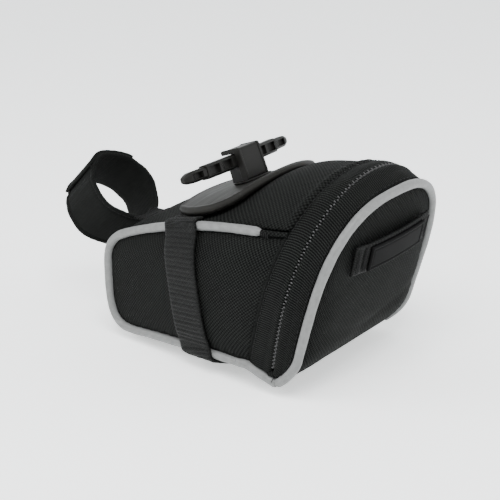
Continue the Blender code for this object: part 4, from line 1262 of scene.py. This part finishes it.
def build_seatpost_strap():
    band("seatpost_strap_cloth", 0.0, 2 * math.pi, RING_R, "seatpost_strap", "seatpost_strap", True)
    band("strap_tail_cloth", TAIL_START, TAIL_TURN, RING_R + RING_THICK - 0.1 * MM, "strap_tail",
         "strap_tail", False, 0.3 * MM)
    rows = [ring_row(side * 11.4 * MM) for side in (-1, 1)]
    joined_stitches("seatpost_strap_stitching", rows, "seatpost_strap", radius=0.16 * MM)
    a_values, b_values = 0.31 + 0.38 * spread(60), 0.40 + 0.24 * spread(36)
    tab = nose_grid(a_values, b_values)
    tab = tab + normals_of(tab) * (WEBBING + 1.5 * GAP)

    def relief(u, v, edge):
        return 0.1 * MM * (np.sin(2 * math.pi * u / (2.4 * MM)) - 1) * np.clip(edge / (1 * MM), 0, 1)
    cloth("strap_anchor_tab_webbing", tab, "webbing", "bag", "strap_anchor_tab", thick=WEBBING, roll=0.8 * MM,
          drop=0.4 * MM, relief=relief)
    normals = normals_of(tab)
    lines = [(row, slice(5, -5)) for row in (3, -4)] + [(slice(3, -3), column) for column in (5, -6)]
    joined_stitches("anchor_stitching", [(tab[line], normals[line]) for line in lines], "bag",
                    length=1.8 * MM, gap=0.7 * MM)


# ---------------------------------------------------------------- rear flap's light loop

def loop_place(x, lift):
    here, normal = point_and_normal(rear_point, (0, 2), (x, LOOP_Z), (0, -1, 0), (0.5 + x / (90 * MM), 0.6))
    return here + normal * lift


def build_light_loop():
    """A band of webbing sewn down at both ends, with a blank embossed patch on it."""
    below = point_and_normal(rear_point, (0, 2), (0.0, LOOP_Z - 6 * MM), (0, -1, 0))[0]
    lean = unit(loop_place(0.0, 0.0) - below)
    outward = np.array([0, -lean[2], lean[1]])
    path = spline([loop_place((-28 + 4 * k) * MM, 1.6 * MM + 1.2 * MM * math.sin(math.pi * k / 14))
                   for k in range(15)], 170)
    across = np.linspace(-6.5, 6.5, 23) * MM
    grid = path[None] + lean[None, None] * across[:, None, None]
    normals = np.broadcast_to(outward, grid.shape)

    def loop_relief(u, v, edge):
        ends = np.abs(u) - (u.max() - 7.2 * MM)
        sewn = 0.35 * MM * np.clip(ends / (1.2 * MM), 0, 1)
        return 0.07 * MM * (np.sin(2 * math.pi * u / (1.9 * MM)) - 1) - sewn
    cloth("light_loop_webbing", grid + normals * 1.2 * MM, "webbing", "rear_flap", "light_loop",
          thick=1.1 * MM, roll=0.8 * MM, drop=0.4 * MM, relief=loop_relief, normals=normals)
    inner = path[24:-24] + outward * (1.2 * MM + GAP)
    across = np.linspace(-5.5, 5.5, 41) * MM
    grid = inner[None] + lean[None, None] * across[:, None, None]
    normals = np.broadcast_to(outward, grid.shape)

    def patch_relief(u, v, edge):
        groove = -0.32 * MM * np.exp(-((edge - 1.5 * MM) / (0.28 * MM)) ** 2)
        rim = 0.12 * MM * np.exp(-((edge - 0.75 * MM) / (0.4 * MM)) ** 2)
        return groove + rim - 0.06 * MM * (edge > 1.9 * MM)
    cloth("light_loop_patch_rubber", grid + normals * 1.0 * MM, "patch_rubber", "rear_flap",
          "light_loop_patch", thick=0.9 * MM, roll=0.5 * MM, drop=0.3 * MM, relief=patch_relief,
          normals=normals)
    for side, spots in (("left", (5, 17)), ("right", (-6, -18))):
        zigzags = []
        for spot in spots:
            middle = path[spot] + outward * 1.25 * MM
            along = unit(path[spot + 1] - path[spot])
            for k in range(15):
                height = (-4.9 + 0.7 * k) * MM
                low, high = (middle + lean * (height + 0.35 * MM * s) + along * 0.95 * MM * s
                             for s in (-1, 1))
                sunk, raised = outward * 0.1 * MM, outward * 0.16 * MM
                zigzags.append(spline([low - sunk, (low + high) / 2 + raised, high - sunk], 5))
        many_tubes(f"bar_tack_{side}_thread", zigzags, 0.2 * MM, "thread", "rear_flap", f"bar_tack_{side}")


# ---------------------------------------------------------------- what stays as CAD

def dress_cad_nodes():
    """The stiff inner pieces keep their CAD shapes, with the detailed finishes."""
    looks = {"dark_plastic": ("mount_core", "mount_backing_plate"),
             "metal": ("mount_screw_left", "mount_screw_right"),
             "stiffener": ("stiffener_left", "stiffener_right", "stiffener_bottom", "stiffener_rear")}
    for look, names in looks.items():
        for name in names:
            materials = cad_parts[name].data.materials
            materials.clear()
            materials.append(LOOKS[look])


# ---------------------------------------------------------------- floor, light and camera

def build_floor():
    """A sheet of pale paper that curves up behind the bag, set square to the camera."""
    mesh = bpy.data.meshes.new("floor")
    reach, back, high, steps = 3.0, 1.2, 2.0, 24
    rows = [(-reach, 0.0)] + [(back + 0.6 * math.sin(w), 0.6 - 0.6 * math.cos(w))
                              for w in np.linspace(0, math.pi / 2, steps)] + [(back + 0.6, high)]
    points, faces = [], []
    c, s = math.cos(VIEW_AZIMUTH), math.sin(VIEW_AZIMUTH)
    right, ahead = np.array([c, s, 0]), np.array([-s, c, 0])
    for k, (y, z) in enumerate(rows):
        for x in (-reach, reach):
            points.append(right * x + ahead * y + np.array([0, 0, z - 0.2 * MM]))
        if k:
            faces.append((2 * k - 2, 2 * k - 1, 2 * k + 1, 2 * k))
    mesh.from_pydata([tuple(p) for p in points], [], faces)
    mesh.polygons.foreach_set("use_smooth", [True] * len(mesh.polygons))
    material = bpy.data.materials.new("FloorPaper")
    material.use_nodes = True
    set_inputs(material.node_tree.nodes["Principled BSDF"], Base_Color=(0.93, 0.94, 0.935, 1), Roughness=0.9,
               Emission_Color=(0.95, 0.97, 0.96, 1), Emission_Strength=0.80)
    mesh.materials.append(material)
    floor = bpy.data.objects.new("floor", mesh)
    bpy.context.scene.collection.objects.link(floor)


def area_light(name, place, aim, size, power):
    light = bpy.data.lights.new(name, "AREA")
    light.shape = "RECTANGLE"
    light.size, light.size_y = size
    light.energy = power
    obj = bpy.data.objects.new(name, light)
    obj.location = place
    obj.rotation_euler = (Vector(aim) - Vector(place)).to_track_quat("-Z", "Y").to_euler()
    bpy.context.scene.collection.objects.link(obj)


def build_lights():
    world = bpy.context.scene.world or bpy.data.worlds.new("World")
    bpy.context.scene.world = world
    world.use_nodes = True
    set_inputs(world.node_tree.nodes["Background"], Color=(0.93, 0.95, 1.0, 1), Strength=0.85)
    area_light("key", (-0.35, -0.25, 0.75), (0, 0, 0.04), (0.5, 0.5), 10.0)
    area_light("fill", (0.45, -0.75, 0.40), (0, 0, 0.05), (0.6, 0.5), 4.5)
    area_light("rim", (-0.55, 0.55, 0.55), (0, 0, 0.06), (0.5, 0.3), 5.0)


def build_camera():
    c, s = math.cos(VIEW_AZIMUTH), math.sin(VIEW_AZIMUTH)
    level = math.cos(VIEW_ELEVATION)
    distance, target = 0.629, Vector((0, -0.011, 0.048))
    back = Vector((s * level, -c * level, math.sin(VIEW_ELEVATION)))
    right = Vector((c, s, 0))
    up = back.cross(right)
    turned = right * math.cos(VIEW_ROLL) + up * math.sin(VIEW_ROLL)
    upright = up * math.cos(VIEW_ROLL) - right * math.sin(VIEW_ROLL)
    data = bpy.data.cameras.new("camera")
    data.sensor_width, data.lens = 36.0, 102.8
    data.shift_x, data.shift_y = -0.0332, -0.015
    data.clip_start, data.clip_end = 0.01, 20.0
    camera = bpy.data.objects.new("camera", data)
    matrix = Matrix((turned, upright, back)).transposed().to_4x4()
    matrix.translation = target + back * distance
    camera.matrix_world = matrix
    bpy.context.scene.collection.objects.link(camera)
    bpy.context.scene.camera = camera


build_panels()
build_fold()
build_zipper()
build_slider()
build_bindings()
build_piping()
build_base_plate()
build_hood()
build_t_bar()
build_load_strap()
build_strap_root()
build_seatpost_strap()
build_light_loop()
dress_cad_nodes()
build_floor()
build_lights()
build_camera()
